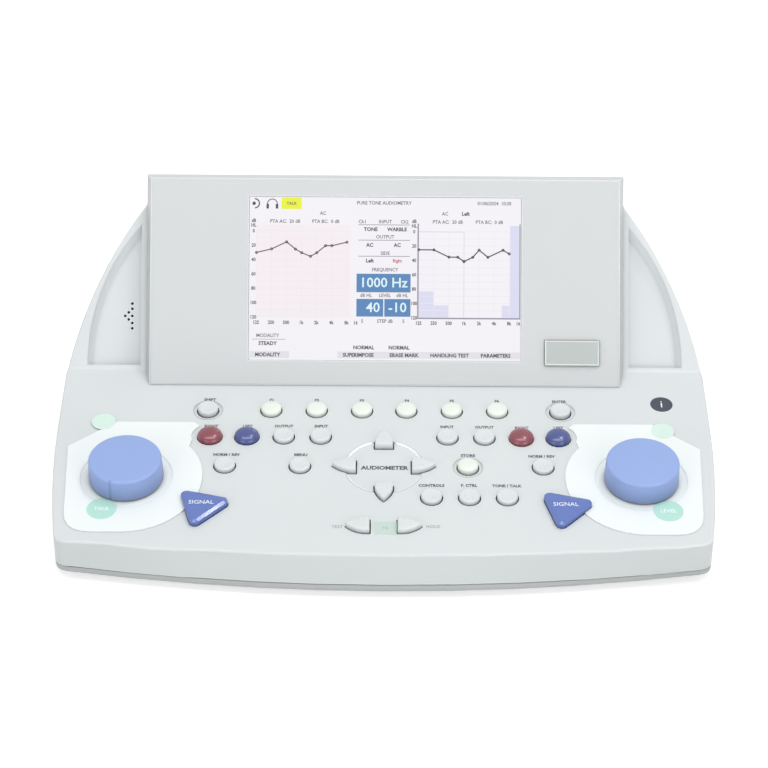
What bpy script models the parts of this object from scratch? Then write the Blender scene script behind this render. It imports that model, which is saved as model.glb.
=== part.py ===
"""A desk audiometer: a two-shell console with a sloping key panel, a reclined display and two dials."""

import math

import bmesh
import bpy
from mathutils import Vector

mm = 0.001

# Overall sizes. X is right, Y is back, Z is up; the origin is under the middle of the footprint.
WIDTH = 357.0 * mm
DEPTH = 248.0 * mm
FOOT_HEIGHT = 4.0 * mm
FIT = 0.3 * mm
RUNNING_FIT = 0.4 * mm
OVERRUN = 1.0 * mm
REACH = 60.0 * mm

# Console: where the display stands on the key panel, and how both lean.
FOOT_LINE_BACK = 135.3 * mm
FOOT_LINE_Z = 40.0 * mm
PANEL_SLOPE = math.radians(5.5)
RECLINE = math.radians(37.0)
PANEL_LENGTH = 134.2 * mm

# Plan outline of the console.
BOTTOM_SAG = 16.3 * mm
TOP_SAG = 9.5 * mm
FRONT_INSET = 6.5 * mm
SIDE_TAPER_LENGTH = 86.0 * mm
FRONT_CORNER = 6.0 * mm
REAR_CORNER = 13.0 * mm
BOTTOM_EDGE = 0.8 * mm

# Shells.
WALL = 2.5 * mm
BOTTOM_TOP_Z = 8.4 * mm
PARTING_GAP = 0.4 * mm
LIP_HEIGHT = 3.0 * mm
LIP_WALL = 1.4 * mm
EDGE_ROUND = 3.0 * mm
SHORT_EDGE = 0.5 * mm

# Display slab and the winged back behind it. Heights run up the reclined face from its foot.
FACE_HALF = 130.9 * mm
FACE_HEIGHT = 116.8 * mm
FACE_FLARE = 3.6 * mm
FACE_PROUD = 11.2 * mm
BLOCK_HALF = 134.2 * mm
FACE_CHAMFER = 1.3 * mm
FACE_CHAMFER_DEPTH = 0.9 * mm
CREASE_LIFT = 0.5 * mm
SCREEN_WIDTH = 152.4 * mm
SCREEN_HEIGHT = 91.8 * mm
SCREEN_CENTRE = 61.0 * mm
ARCH_FOOT = 10.5 * mm
ARCH_FOOT_INSET = 0.7 * mm
ARCH_MIDDLE = 52.9 * mm
ARCH_MIDDLE_INSET = 14.7 * mm
ARCH_TOP = 103.5 * mm
ARCH_SKIRT = 40.0 * mm

# Recessed trays in the wings.
TRAY_DEPTH = 6.0 * mm
TRAY_DRAFT = 2.6 * mm
TRAY_FOOT = 12.6 * mm
TRAY_INNER = 137.0 * mm
TRAY_FOOT_RIM = 10.8 * mm
TRAY_MIDDLE = 57.4 * mm
TRAY_MIDDLE_RIM = 5.2 * mm
TRAY_TOP = 92.0 * mm

# Speaker behind the left tray, with its arrow of sound holes.
SOUND_X = 142.6 * mm
SOUND_Y = 40.6 * mm
SOUND_PITCH = 2.0 * mm
SOUND_RADIUS = 0.85 * mm
SOUND_SHARES = ((0, 3.5), (0, 2), (-1, 1), (-2, 0), (0, 0), (-1, -1), (0, -2), (0, -3.5))
SPEAKER_RADIUS = 14.0 * mm
SPEAKER_DEPTH = 9.0 * mm
SPEAKER_FRAME = 2.0 * mm
MAGNET_RADIUS = 8.0 * mm

# Round keys: places on the panel, measured right of the middle and down from the display foot.
KEY_RADIUS = 5.9 * mm
LAMP_KEY_RADIUS = 6.8 * mm
KEY_SIDE = 1.7 * mm
KEY_HEIGHT = 3.4 * mm
LAMP_KEY_HEIGHT = 4.2 * mm
KEY_TRAVEL = 1.2 * mm
KEY_FLANGE = 1.2 * mm
DISH_RADIUS = 7.9 * mm
DISH_DEPTH = 0.5 * mm
ROW_1 = 20.0 * mm
ROW_2 = 42.1 * mm
ROW_3 = 65.9 * mm
ROW_4 = 90.3 * mm
SOFT_KEY_PITCH = 25.0 * mm
SOFT_KEY_FIRST = 12.2 * mm
RINGED_KEY_X = 97.0 * mm
SIDE_KEY_PITCH = 20.1 * mm
SIDE_KEY_FIRST = 34.5 * mm
WIDE_KEY_X = 85.5 * mm
NEAR_KEY_X = 45.1 * mm
LOW_KEY_X = 25.3 * mm

# Arrow pad and the two keys in front of it.
PAD_CENTRE = 65.7 * mm
PAD_RADIUS = 21.2 * mm
PAD_DEPTH = 0.6 * mm
PAD_BEVEL = 1.4 * mm
ARROW_INNER = 14.7 * mm
ARROW_LENGTH = 13.4 * mm
ARROW_WIDTH = 10.4 * mm
ARROW_HEIGHT = 3.0 * mm
ARROW_ROUND = 0.5 * mm
ARROW_STRAIGHT_SHARE = 0.2
FRONT_KEY_X = 7.0 * mm
FRONT_KEY_Y = 112.8 * mm

# Triangular keys.
TRIANGLE_X = 96.0 * mm
TRIANGLE_Y = 99.3 * mm
TRIANGLE_TIP = 14.3 * mm
TRIANGLE_CORNER = 3.0 * mm
TRIANGLE_HEIGHT = 3.6 * mm
TRIANGLE_TURN = math.radians(136.0)

# Dials and the white plates that they stand on.
DIAL_X = 137.5 * mm
DIAL_Y = 75.4 * mm
DIAL_RADIUS = 20.0 * mm
DIAL_TOP_RADIUS = 19.5 * mm
DIAL_TOP = 13.6 * mm
DIAL_ROUND = 0.9 * mm
DIAL_MARK = 0.5 * mm
SHAFT_RADIUS = 3.0 * mm
SHAFT_HOLE = 4.5 * mm
PLATE_RADIUS = 40.4 * mm
PLATE_DROP = 42.4 * mm
PLATE_OUTER_X = 170.9 * mm
PLATE_LOW_X = 167.0 * mm
PLATE_CORNER = 14.0 * mm
PLATE_SHOULDER_Y = 51.0 * mm
PLATE_BROW_X = 146.0 * mm
PLATE_TOP_Y = 30.8 * mm
PLATE_HORN_X = 103.0 * mm
PLATE_NOTCH = 10.4 * mm
PLATE_SINK = 0.8 * mm
PLATE_TOP = 0.6 * mm
PLATE_DISH_RADIUS = 25.0 * mm
PLATE_DISH_DEPTH = 0.4 * mm

# Keypad mat and circuit board under the panel.
MAT_HALF = 106.0 * mm
MAT_FRONT = 122.0 * mm
MAT_BACK = 12.5 * mm
MAT_THICKNESS = 1.5 * mm
BOARD_INSET = 28.5 * mm
BOARD_FRONT = 121.0 * mm
BOARD_BACK = 4.0 * mm
BOARD_THICKNESS = 1.6 * mm
ENCODER_SIDE = 14.0 * mm
ENCODER_GAP = 0.5 * mm
POST_RADIUS = 3.0 * mm
POST_X = 118.0 * mm
POST_FRONT_Y = 119.5 * mm
POST_BACK_Y = 8.0 * mm

# Display: window pane and panel module.
PANE_REST = 0.6 * mm
PANE_SINK = 0.3 * mm
MODULE_SIDE_MARGIN = 6.0 * mm
MODULE_EDGE_MARGIN = 2.0 * mm
MODULE_CLEARANCE = 0.9 * mm
MODULE_CORNER = 1.0 * mm
MODULE_DEPTH = 5.8 * mm
CABLE_SLOT_WIDTH = 150.0 * mm
CABLE_SLOT_HEIGHT = 60.0 * mm

# Name plate blank on the display face.
BADGE_WIDTH = 30.2 * mm
BADGE_HEIGHT = 13.9 * mm
BADGE_X = 104.4 * mm
BADGE_Y = 20.0 * mm
BADGE_SINK = 0.6 * mm
BADGE_TOP = 1.3 * mm
BADGE_BEVEL = 1.0 * mm

# Connector plate in the back wall, seen from behind.
PLATE_Z = 34.0 * mm
REAR_PLATE_WIDTH = 206.0 * mm
REAR_PLATE_HEIGHT = 34.0 * mm
REAR_PLATE_THICKNESS = 1.2 * mm
REAR_LEDGE = 3.0 * mm
JACK_PITCH = 21.0 * mm
JACK_FIRST = 6.0 * mm
JACK_COUNT = 4
JACK_BORE = 3.3 * mm
JACK_NECK = 4.6 * mm
JACK_FLANGE = 6.4 * mm
JACK_FLANGE_THICKNESS = 1.2 * mm
JACK_BODY = 6.5 * mm
JACK_DEPTH = 14.0 * mm
INLET_X = 78.0 * mm
INLET_WIDTH = 27.0 * mm
INLET_HEIGHT = 19.6 * mm
INLET_FLANGE = 2.0 * mm
INLET_WALL = 1.6 * mm
INLET_DEPTH = 17.0 * mm
INLET_BODY = 21.0 * mm
PIN_LENGTH = 10.0 * mm
PIN_WIDTH = 4.0 * mm
PIN_THICKNESS = 2.0 * mm
PIN_SPREAD = 7.0 * mm
PIN_RISE = 3.0 * mm
SWITCH_X = 42.0 * mm
SWITCH_LENGTH = 18.8 * mm
SWITCH_WIDTH = 12.6 * mm
SWITCH_SLACK = 0.7 * mm
SWITCH_PROUD = 1.6 * mm
SWITCH_HOLLOW = 1.2 * mm
SWITCH_BELLY = 6.0 * mm
SWITCH_TILT = math.radians(7.0)

# Feet and case screws.
PAD_INSET = 38.5 * mm
FOOT_Y = 92.0 * mm
FOOT_RADIUS = 7.5 * mm
FOOT_SINK = 1.0 * mm
FOOT_ROUND = 0.8 * mm
BOSS_RADIUS = 4.5 * mm
BOSS_FRONT_Y = 98.0 * mm
BOSS_BACK_INSET = 38.5 * mm
BOSS_BITE = 1.0 * mm
BOSS_RISE = 24.0 * mm
BOSS_PAD_RADIUS = 6.0 * mm
BOSS_PAD_Z = 8.0 * mm
SCREW_RADIUS = 1.5 * mm
SCREW_HEAD_RADIUS = 3.0 * mm
SCREW_HEAD = 1.9 * mm
SCREW_LENGTH = 12.0 * mm
SCREW_DRIVE = 1.2 * mm

# How finely round shapes are drawn.
DIAL_SIDES = 48
KEY_SIDES = 18
SMALL_SIDES = 12
ARC_STEPS = 10

HALF = WIDTH / 2
FRONT_HALF = HALF - FRONT_INSET
ARCH_FOOT_HALF = HALF - ARCH_FOOT_INSET
ARCH_MIDDLE_HALF = HALF - ARCH_MIDDLE_INSET
TRAY_FOOT_HALF = ARCH_FOOT_HALF - TRAY_FOOT_RIM
TRAY_MIDDLE_HALF = ARCH_MIDDLE_HALF - TRAY_MIDDLE_RIM
BOARD_HALF = HALF - BOARD_INSET
PAD_X = HALF - PAD_INSET
BOSS_BACK_X = HALF - BOSS_BACK_INSET
FRONT = -DEPTH / 2
BACK = DEPTH / 2
FOOT_LINE_Y = FRONT + FOOT_LINE_BACK
FRONT_TOP_Y = FOOT_LINE_Y - PANEL_LENGTH * math.cos(PANEL_SLOPE)
FRONT_TOP_Z = FOOT_LINE_Z - PANEL_LENGTH * math.sin(PANEL_SLOPE)
TOP_BOTTOM_Z = BOTTOM_TOP_Z + PARTING_GAP
FLOOR_Z = FOOT_HEIGHT + WALL
SKY_Z = FOOT_LINE_Z + FACE_HEIGHT + REACH
CAP_BOTTOM = -(WALL + FIT + KEY_FLANGE)
MAT_TOP = CAP_BOTTOM - KEY_TRAVEL - FIT
BOARD_TOP = MAT_TOP - MAT_THICKNESS - FIT

HOUSING = (0.80, 0.83, 0.85)
HOUSING_LOW = (0.66, 0.69, 0.70)
DISPLAY_GREY = (0.71, 0.75, 0.77)
PLATE_WHITE = (0.88, 0.92, 0.95)
DIAL_BLUE = (0.30, 0.41, 0.78)
KEY_BLUE = (0.11, 0.14, 0.38)
TRIANGLE_BLUE = (0.19, 0.25, 0.62)
KEY_RED = (0.33, 0.07, 0.10)
KEY_WHITE = (0.90, 0.92, 0.86)
KEY_GREY = (0.72, 0.75, 0.77)
BLACK = (0.02, 0.02, 0.02)
STEEL = (0.55, 0.56, 0.58)
BOARD_GREEN = (0.04, 0.22, 0.10)
MAT_GREY = (0.35, 0.36, 0.37)


def clear_scene():
    for item in list(bpy.data.objects):
        bpy.data.objects.remove(item)


def finish(name, colour, roughness, metallic=0.0):
    """A named material, made once."""
    if name in bpy.data.materials:
        return bpy.data.materials[name]
    made = bpy.data.materials.new(name)
    made.use_nodes = True
    shader = made.node_tree.nodes["Principled BSDF"]
    shader.inputs["Base Color"].default_value = (*colour, 1.0)
    shader.inputs["Roughness"].default_value = roughness
    shader.inputs["Metallic"].default_value = metallic
    made.diffuse_color = (*colour, 1.0)
    return made


def frame_empty(name, location, rotation):
    """An empty that carries a sloping surface: its X and Y lie in the surface and its Z points out."""
    empty = bpy.data.objects.new(name, None)
    empty.location = location
    empty.rotation_euler = rotation
    empty.empty_display_size = REACH
    bpy.context.collection.objects.link(empty)
    return empty


def place(name, shape, parent=None, location=(0, 0, 0), turn=0.0):
    """Links a bmesh as an object of its own under a frame."""
    mesh = bpy.data.meshes.new(name)
    bmesh.ops.recalc_face_normals(shape, faces=shape.faces)
    shape.to_mesh(mesh)
    shape.free()
    item = bpy.data.objects.new(name, mesh)
    item.parent = parent
    item.location = location
    item.rotation_euler = (0, 0, turn)
    bpy.context.collection.objects.link(item)
    return item


def dress(item, material, smooth_angle=math.radians(35)):
    item.data.materials.append(material)
    item.data.shade_smooth()
    item.data.set_sharp_from_angle(angle=smooth_angle)
    return item


def helper(item):
    """Marks an object as a cutter or a filler that isn't a piece itself."""
    item.hide_render = True
    item.display_type = "WIRE"
    return item


def combine(item, other, operation):
    modifier = item.modifiers.new(other.name, "BOOLEAN")
    modifier.operation = operation
    modifier.object = helper(other)
    return item


def ring_of(shape, points):
    return [shape.verts.new(point) for point in points]


def bridge(shape, low, high):
    count = len(low)
    for i in range(count):
        j = (i + 1) % count
        shape.faces.new((low[i], low[j], high[j], high[i]))


def loft(rings, shape=None):
    """A closed solid through rings of equally many points."""
    shape = shape or bmesh.new()
    loops = [ring_of(shape, ring) for ring in rings]
    sides = []
    for low, high in zip(loops, loops[1:]):
        before = len(shape.faces)
        bridge(shape, low, high)
        shape.faces.ensure_lookup_table()
        sides += shape.faces[before:]
    bmesh.ops.connect_verts_nonplanar(shape, angle_limit=math.radians(0.05), faces=sides)
    shape.faces.new(loops[0][::-1])
    shape.faces.new(loops[-1])
    return shape


def prism(outline, low, high, shape=None):
    """A flat outline raised between two heights."""
    return loft([[(x, y, low) for x, y in outline], [(x, y, high) for x, y in outline]], shape)


def stack(layers, shape=None):
    """A solid through (outline, height) layers."""
    return loft([[(x, y, height) for x, y in outline] for outline, height in layers], shape)


def cross_prism(section, half, shape=None):
    """A (y, z) section run along X from -half to half."""
    return loft([[(-half, y, z) for y, z in section], [(half, y, z) for y, z in section]], shape)


def circle(radius, sides, x=0.0, y=0.0):
    step = math.tau / sides
    return [(x + radius * math.cos(i * step), y + radius * math.sin(i * step)) for i in range(sides)]


def rectangle(width, height, x=0.0, y=0.0):
    w, h = width / 2, height / 2
    return [(x - w, y - h), (x + w, y - h), (x + w, y + h), (x - w, y + h)]


def rounded_rectangle(width, height, radius, steps=3, x=0.0, y=0.0):
    points = []
    corners = ((1, -1, -90), (1, 1, 0), (-1, 1, 90), (-1, -1, 180))
    for right, up, start in corners:
        cx = x + right * (width / 2 - radius)
        cy = y + up * (height / 2 - radius)
        for i in range(steps + 1):
            angle = math.radians(start + 90 * i / steps)
            points.append((cx + radius * math.cos(angle), cy + radius * math.sin(angle)))
    return points


def turned(profile, sides, shape=None, x=0.0, y=0.0):
    """A turned solid: the profile is (radius, height) from its bottom centre to its top centre."""
    shape = shape or bmesh.new()
    bottom = shape.verts.new((x, y, profile[0][1]))
    top = shape.verts.new((x, y, profile[-1][1]))
    rings = [
        ring_of(shape, [(px, py, height) for px, py in circle(radius, sides, x, y)])
        for radius, height in profile[1:-1]
    ]
    for low, high in zip(rings, rings[1:]):
        bridge(shape, low, high)
    for i in range(sides):
        j = (i + 1) % sides
        shape.faces.new((bottom, rings[0][j], rings[0][i]))
        shape.faces.new((top, rings[-1][i], rings[-1][j]))
    return shape


def drum(radius, low, high, sides, shape=None, x=0.0, y=0.0):
    return prism(circle(radius, sides, x, y), low, high, shape)


def arc_through(first, middle, last, steps):
    """Points along the circle that passes through three places."""
    (ax, ay), (bx, by), (cx, cy) = first, middle, last
    double_area = 2 * (ax * (by - cy) + bx * (cy - ay) + cx * (ay - by))
    a2, b2, c2 = ax * ax + ay * ay, bx * bx + by * by, cx * cx + cy * cy
    ox = (a2 * (by - cy) + b2 * (cy - ay) + c2 * (ay - by)) / double_area
    oy = (a2 * (cx - bx) + b2 * (ax - cx) + c2 * (bx - ax)) / double_area
    radius = math.hypot(ax - ox, ay - oy)
    start = math.atan2(ay - oy, ax - ox)
    sweep = math.atan2(cy - oy, cx - ox) - start
    sweep = (sweep + math.pi) % math.tau - math.pi
    angles = [start + sweep * i / steps for i in range(steps + 1)]
    return [(ox + radius * math.cos(a), oy + radius * math.sin(a)) for a in angles]


def corner_curve(start, corner, end, steps):
    """A soft corner: the curve that leaves and arrives along the two edges that meet there."""
    points = []
    for i in range(steps + 1):
        t = i / steps
        weights = ((1 - t) ** 2, 2 * t * (1 - t), t * t)
        points.append(tuple(sum(w * p[k] for w, p in zip(weights, (start, corner, end))) for k in (0, 1)))
    return points


def grown(outline, distance):
    """An anticlockwise outline moved outwards by a distance."""
    count = len(outline)
    result = []
    for i in range(count):
        before, here, after = outline[i - 1], outline[i], outline[(i + 1) % count]
        first = Vector((here[1] - before[1], before[0] - here[0])).normalized()
        second = Vector((after[1] - here[1], here[0] - after[0])).normalized()
        middle = (first + second).normalized()
        move = middle * (distance / max(middle.dot(first), 0.3))
        result.append((here[0] + move.x, here[1] + move.y))
    return result


def mirrored(outline):
    return [(-x, y) for x, y in reversed(outline)]


def side_half(y, inset):
    """Half the console's width at a place along its depth; it narrows towards the front."""
    start = FRONT + FOOT_LINE_BACK - PANEL_LENGTH / 4
    ahead = max(start - y, 0.0) / SIDE_TAPER_LENGTH
    return HALF - inset - (HALF - FRONT_HALF) * ahead**2


def plan_outline(rise_share, inset):
    """The console seen from above: 0 is its bottom edge and 1 the front edge of the key panel."""
    front_y = FRONT + (FRONT_TOP_Y - FRONT) * rise_share + inset
    sag = BOTTOM_SAG + (TOP_SAG - BOTTOM_SAG) * rise_share

    def front_at(x):
        return front_y + sag * (x / FRONT_HALF) ** 2

    back_y = BACK - inset
    end_x = FRONT_HALF - inset - FRONT_CORNER
    corner_y = front_at(FRONT_HALF - inset)
    corner_x = side_half(corner_y, inset)
    first_y = corner_y + FRONT_CORNER
    last_y = FRONT + FOOT_LINE_BACK - PANEL_LENGTH / 4
    front = [(end_x * (2 * i / ARC_STEPS - 1), 0) for i in range(ARC_STEPS + 1)]
    front = [(x, front_at(x)) for x, _ in front]
    side_start = (side_half(first_y, inset), first_y)
    corner = corner_curve(front[-1], (corner_x, corner_y), side_start, 4)
    steps = ARC_STEPS // 2
    side_ys = [first_y + (last_y - first_y) * i / steps for i in range(1, steps + 1)]
    side = [(side_half(y, inset), y) for y in side_ys]
    half = HALF - inset
    rear_start = (half, back_y - REAR_CORNER)
    rear_end = (half - REAR_CORNER, back_y)
    rear = corner_curve(rear_start, (half, back_y), rear_end, 4)
    right = corner[1:] + side + rear
    return front[:] + right + [(-x, y) for x, y in reversed(right)]


def plan_ring(z, inset):
    """The outline at a height: it draws in steadily up to the display's foot and is upright above it."""
    rise = (min(z, FOOT_LINE_Z) - FOOT_HEIGHT) / (FRONT_TOP_Z - FOOT_HEIGHT)
    return [(x, y, z) for x, y in plan_outline(rise, inset)]


def panel_z(y):
    return FOOT_LINE_Z + (y - FOOT_LINE_Y) * math.tan(PANEL_SLOPE)


def face_place(along, out):
    """The (y, z) of a point at a height up the reclined face and a distance out of it."""
    y = FOOT_LINE_Y + along * math.sin(RECLINE) - out * math.cos(RECLINE)
    z = FOOT_LINE_Z + along * math.cos(RECLINE) + out * math.sin(RECLINE)
    return y, z


def plane_meeting(depth, drop):
    """The (y, z) where the plane this far behind the face meets the panel lowered by a drop."""
    y0, z0 = face_place(0.0, -depth)
    floor = drop / math.cos(PANEL_SLOPE)
    slope = math.tan(PANEL_SLOPE)
    rise = 1 / math.tan(RECLINE)
    y = (FOOT_LINE_Z - floor - slope * FOOT_LINE_Y - z0 + rise * y0) / (rise - slope)
    return y, z0 + (y - y0) * rise


def arch_section(inset):
    """The winged back seen square to the display, with the square block of the display in its middle."""
    foot = (ARCH_FOOT_HALF - inset, ARCH_FOOT)
    middle = (ARCH_MIDDLE_HALF - inset, ARCH_MIDDLE - inset / 2)
    top = (BLOCK_HALF - inset, ARCH_TOP - inset)
    arc = arc_through(foot, middle, top, ARC_STEPS)
    lean = (arc[0][0] - arc[1][0]) / (arc[1][1] - arc[0][1])
    skirt_x = foot[0] + lean * ARCH_SKIRT
    right = [(skirt_x, -DEPTH), (skirt_x, foot[1] - ARCH_SKIRT)] + arc
    right.append((BLOCK_HALF - inset, FACE_HEIGHT + FACE_FLARE - FIT - inset))
    return right + [(-x, along) for x, along in reversed(right)]


def arch_block(name, inset):
    """The winged back as one deep slab lying parallel to the display."""
    return place(name, prism(arch_section(inset), -DEPTH, DEPTH), FACE)


def front_wedge(depth, drop):
    """Everything above the key panel and in front of the wings."""
    crease_y, crease_z = plane_meeting(depth, drop)
    far = FRONT - REACH
    floor = panel_z(far) - drop / math.cos(PANEL_SLOPE)
    up = (SKY_Z - crease_z) * math.tan(RECLINE)
    section = [(far, floor), (crease_y, crease_z), (crease_y + up, SKY_Z), (far, SKY_Z)]
    return cross_prism(section, WIDTH)


def base_solid(name, inset, low_z, high_z):
    """A flat layer of the case with the same outline as the console above it."""
    layer = place(name, loft([plan_ring(low_z, inset), plan_ring(high_z, inset)]))
    return combine(layer, arch_block(name + "_arch", inset), "INTERSECT")


def round_edges(item, width, segments):
    weld = item.modifiers.new("edge_weld", "WELD")
    weld.merge_threshold = SHORT_EDGE
    bevel = item.modifiers.new("edge_round", "BEVEL")
    bevel.width = width
    bevel.segments = segments
    bevel.limit_method = "ANGLE"
    bevel.angle_limit = math.radians(32)
    bevel.use_clamp_overlap = True


def console_solid(name, inset, depth, low_z):
    """The console's outer form, or the hollow inside it when inset."""
    rings = [plan_ring(low_z, inset), plan_ring(FOOT_LINE_Z, inset), plan_ring(SKY_Z - REACH / 2, inset)]
    solid = place(name, loft(rings))
    combine(solid, arch_block(name + "_arch", inset), "INTERSECT")
    combine(solid, place(name + "_front", front_wedge(depth, inset)), "DIFFERENCE")
    return solid


def tray_outline(inset):
    """The right-hand tray in the wing plane, between the display's side and the rim."""
    foot = (TRAY_FOOT_HALF - inset, TRAY_FOOT)
    middle = (TRAY_MIDDLE_HALF - inset, TRAY_MIDDLE)
    top = (TRAY_INNER, TRAY_TOP - 2 * inset)
    return [(TRAY_INNER, TRAY_FOOT)] + arc_through(foot, middle, top, ARC_STEPS)


def tray_cutters():
    shape = bmesh.new()
    depth = -(FACE_PROUD + TRAY_DEPTH)
    bottom = tray_outline(TRAY_DRAFT)
    mouth = tray_outline(-TRAY_DRAFT * OVERRUN / TRAY_DEPTH)
    for flip in (list, mirrored):
        stack([(flip(bottom), depth), (flip(mouth), OVERRUN - FACE_PROUD)], shape)
    return shape


def sound_holes():
    shape = bmesh.new()
    back = -(FACE_PROUD + TRAY_DEPTH + WALL + OVERRUN)
    for across, up in SOUND_SHARES:
        x = -SOUND_X + across * SOUND_PITCH
        drum(SOUND_RADIUS, back, OVERRUN - FACE_PROUD, 8, shape, x, SOUND_Y + up * SOUND_PITCH)
    return shape


def key_places():
    """Every round key: its name, place, kind, and whether it sits in a dish."""
    places = []
    for side, word in ((-1, "left"), (1, "right")):
        places.append((f"select_key_{word}", side * RINGED_KEY_X, ROW_1, "grey", True))
        for i in range(3):
            x = side * (SOFT_KEY_FIRST + i * SOFT_KEY_PITCH)
            places.append((f"soft_key_{word}_{i + 1}", x, ROW_1, "white", False))
        for i, kind in enumerate(("grey", "grey", "lamp", "lamp")):
            x = side * (SIDE_KEY_FIRST + i * SIDE_KEY_PITCH)
            label = "lamp_key" if kind == "lamp" else "input_key"
            inner = "red" if (side > 0) == (i == 2) else "blue"
            tone = inner if kind == "lamp" else "grey"
            number = f"{tone}_{word}" if kind == "lamp" else f"{word}_{i + 1}"
            places.append((f"{label}_{number}", x, ROW_2, tone, False))
        places.append((f"mode_key_{word}", side * WIDE_KEY_X, ROW_3, "grey", False))
    places.append(("menu_key", -NEAR_KEY_X, ROW_3, "grey", False))
    places.append(("store_key", NEAR_KEY_X, ROW_3, "white", True))
    for i in range(3):
        places.append((f"test_key_{i + 1}", LOW_KEY_X + i * SIDE_KEY_PITCH, ROW_4, "grey", False))
    return places


def key_radius(kind):
    return LAMP_KEY_RADIUS if kind in ("red", "blue") else KEY_RADIUS


def round_key(kind):
    radius = key_radius(kind)
    rim = radius + KEY_FLANGE
    base = [(0, CAP_BOTTOM), (rim, CAP_BOTTOM), (rim, CAP_BOTTOM + KEY_FLANGE)]
    if kind in ("red", "blue"):
        high = LAMP_KEY_HEIGHT
        dome_shares = ((1.0, 0.12), (0.86, 0.5), (0.62, 0.84), (0.3, 0.97))
    else:
        high = KEY_HEIGHT
        dome_shares = ((1.0, KEY_SIDE / KEY_HEIGHT), (0.9, 0.78), (0.55, 0.95))
    dome = [(radius * across, high * up) for across, up in dome_shares]
    return turned(base + [(radius, CAP_BOTTOM + KEY_FLANGE)] + dome + [(0, high)], KEY_SIDES)


def arrow_outline(grow):
    """A pointed key: flat towards the middle of its group, curving to a point on its far side."""
    half = ARROW_WIDTH / 2 + grow
    length = ARROW_LENGTH + grow
    start = ARROW_LENGTH * ARROW_STRAIGHT_SHARE
    steps = 6
    side = [(start + (length - start) * i / steps, half * (1 - (i / steps) ** 2)) for i in range(steps)]
    upper = side + [(length, 0.0)]
    lower = [(x, -y) for x, y in reversed(side)]
    return [(-grow, -half)] + lower[::-1][:1] + [(x, -y) for x, y in side[1:]] + upper[::-1] + [(-grow, half)]


def arrow_key():
    flange = arrow_outline(KEY_FLANGE)
    cap = arrow_outline(0.0)
    shoulder = ARROW_HEIGHT - ARROW_ROUND
    layers = [(flange, CAP_BOTTOM), (flange, CAP_BOTTOM + KEY_FLANGE), (cap, CAP_BOTTOM + KEY_FLANGE)]
    layers += [(cap, shoulder), (arrow_outline(-ARROW_ROUND), ARROW_HEIGHT)]
    return stack(layers)


def arrow_places():
    """Each pointed key: its name, the middle of its flat side, and the way it points."""
    places = []
    names = ("arrow_key_right", "arrow_key_up", "arrow_key_left", "arrow_key_down")
    for i, name in enumerate(names):
        turn = math.tau * i / 4
        x = ARROW_INNER * math.cos(turn)
        y = ARROW_INNER * math.sin(turn) - PAD_CENTRE
        places.append((name, x, y, turn))
    places.append(("level_key_right", FRONT_KEY_X, -FRONT_KEY_Y, 0.0))
    places.append(("level_key_left", -FRONT_KEY_X, -FRONT_KEY_Y, math.pi))
    return places


def triangle_outline(grow):
    """An equilateral triangle with rounded corners."""
    reach = TRIANGLE_TIP - TRIANGLE_CORNER
    radius = TRIANGLE_CORNER + grow
    steps = 4
    points = []
    for corner in range(3):
        middle = TRIANGLE_TURN + corner * math.tau / 3
        cx, cy = reach * math.cos(middle), reach * math.sin(middle)
        for i in range(steps + 1):
            angle = middle + math.radians(120) * (i / steps - 0.5)
            points.append((cx + radius * math.cos(angle), cy + radius * math.sin(angle)))
    return points


def triangle_key():
    flange = triangle_outline(KEY_FLANGE)
    cap = triangle_outline(0.0)
    shoulder = TRIANGLE_HEIGHT - ARROW_ROUND
    layers = [(flange, CAP_BOTTOM), (flange, CAP_BOTTOM + KEY_FLANGE), (cap, CAP_BOTTOM + KEY_FLANGE)]
    layers += [(cap, shoulder), (triangle_outline(-ARROW_ROUND), TRIANGLE_HEIGHT)]
    return stack(layers)


def turned_outline(outline, x, y, turn):
    c, s = math.cos(turn), math.sin(turn)
    return [(x + px * c - py * s, y + px * s + py * c) for px, py in outline]


def panel_holes():
    """The openings in the key panel for keys and dial shafts."""
    shape = bmesh.new()
    low = -(WALL + OVERRUN)
    for _, x, y, kind, _ in key_places():
        drum(key_radius(kind) + RUNNING_FIT, low, OVERRUN, KEY_SIDES, shape, x, -y)
    for _, x, y, turn in arrow_places():
        prism(turned_outline(arrow_outline(RUNNING_FIT), x, y, turn), low, OVERRUN, shape)
    for side in (-1, 1):
        outline = turned_outline(triangle_outline(RUNNING_FIT), side * TRIANGLE_X, -TRIANGLE_Y, 0.0)
        prism(outline, low, OVERRUN, shape)
        drum(SHAFT_HOLE, low, OVERRUN, KEY_SIDES, shape, side * DIAL_X, -DIAL_Y)
    return shape


def panel_dishes():
    """Shallow dishes round the ringed keys, and the wider one inside the arrow pad."""
    shape = bmesh.new()
    for _, x, y, _, ringed in key_places():
        if ringed:
            drum(DISH_RADIUS, -DISH_DEPTH, OVERRUN, KEY_SIDES + SMALL_SIDES, shape, x, -y)
    pad = [(0, -PAD_DEPTH), (PAD_RADIUS - PAD_BEVEL, -PAD_DEPTH), (PAD_RADIUS, 0)]
    pad += [(PAD_RADIUS + PAD_BEVEL, PAD_DEPTH), (0, PAD_DEPTH)]
    turned(pad, DIAL_SIDES, shape, 0.0, -PAD_CENTRE)
    return shape


def plate_corner():
    """The rounded low corner of the right plate, from its outer side to its front edge."""
    low_y = DIAL_Y + PLATE_DROP
    lean = (PLATE_OUTER_X - PLATE_LOW_X) / (low_y - PLATE_SHOULDER_Y)
    side = (PLATE_LOW_X + PLATE_CORNER * lean, PLATE_CORNER - low_y)
    return corner_curve(side, (PLATE_LOW_X, -low_y), (PLATE_LOW_X - PLATE_CORNER, -low_y), 5)


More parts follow.
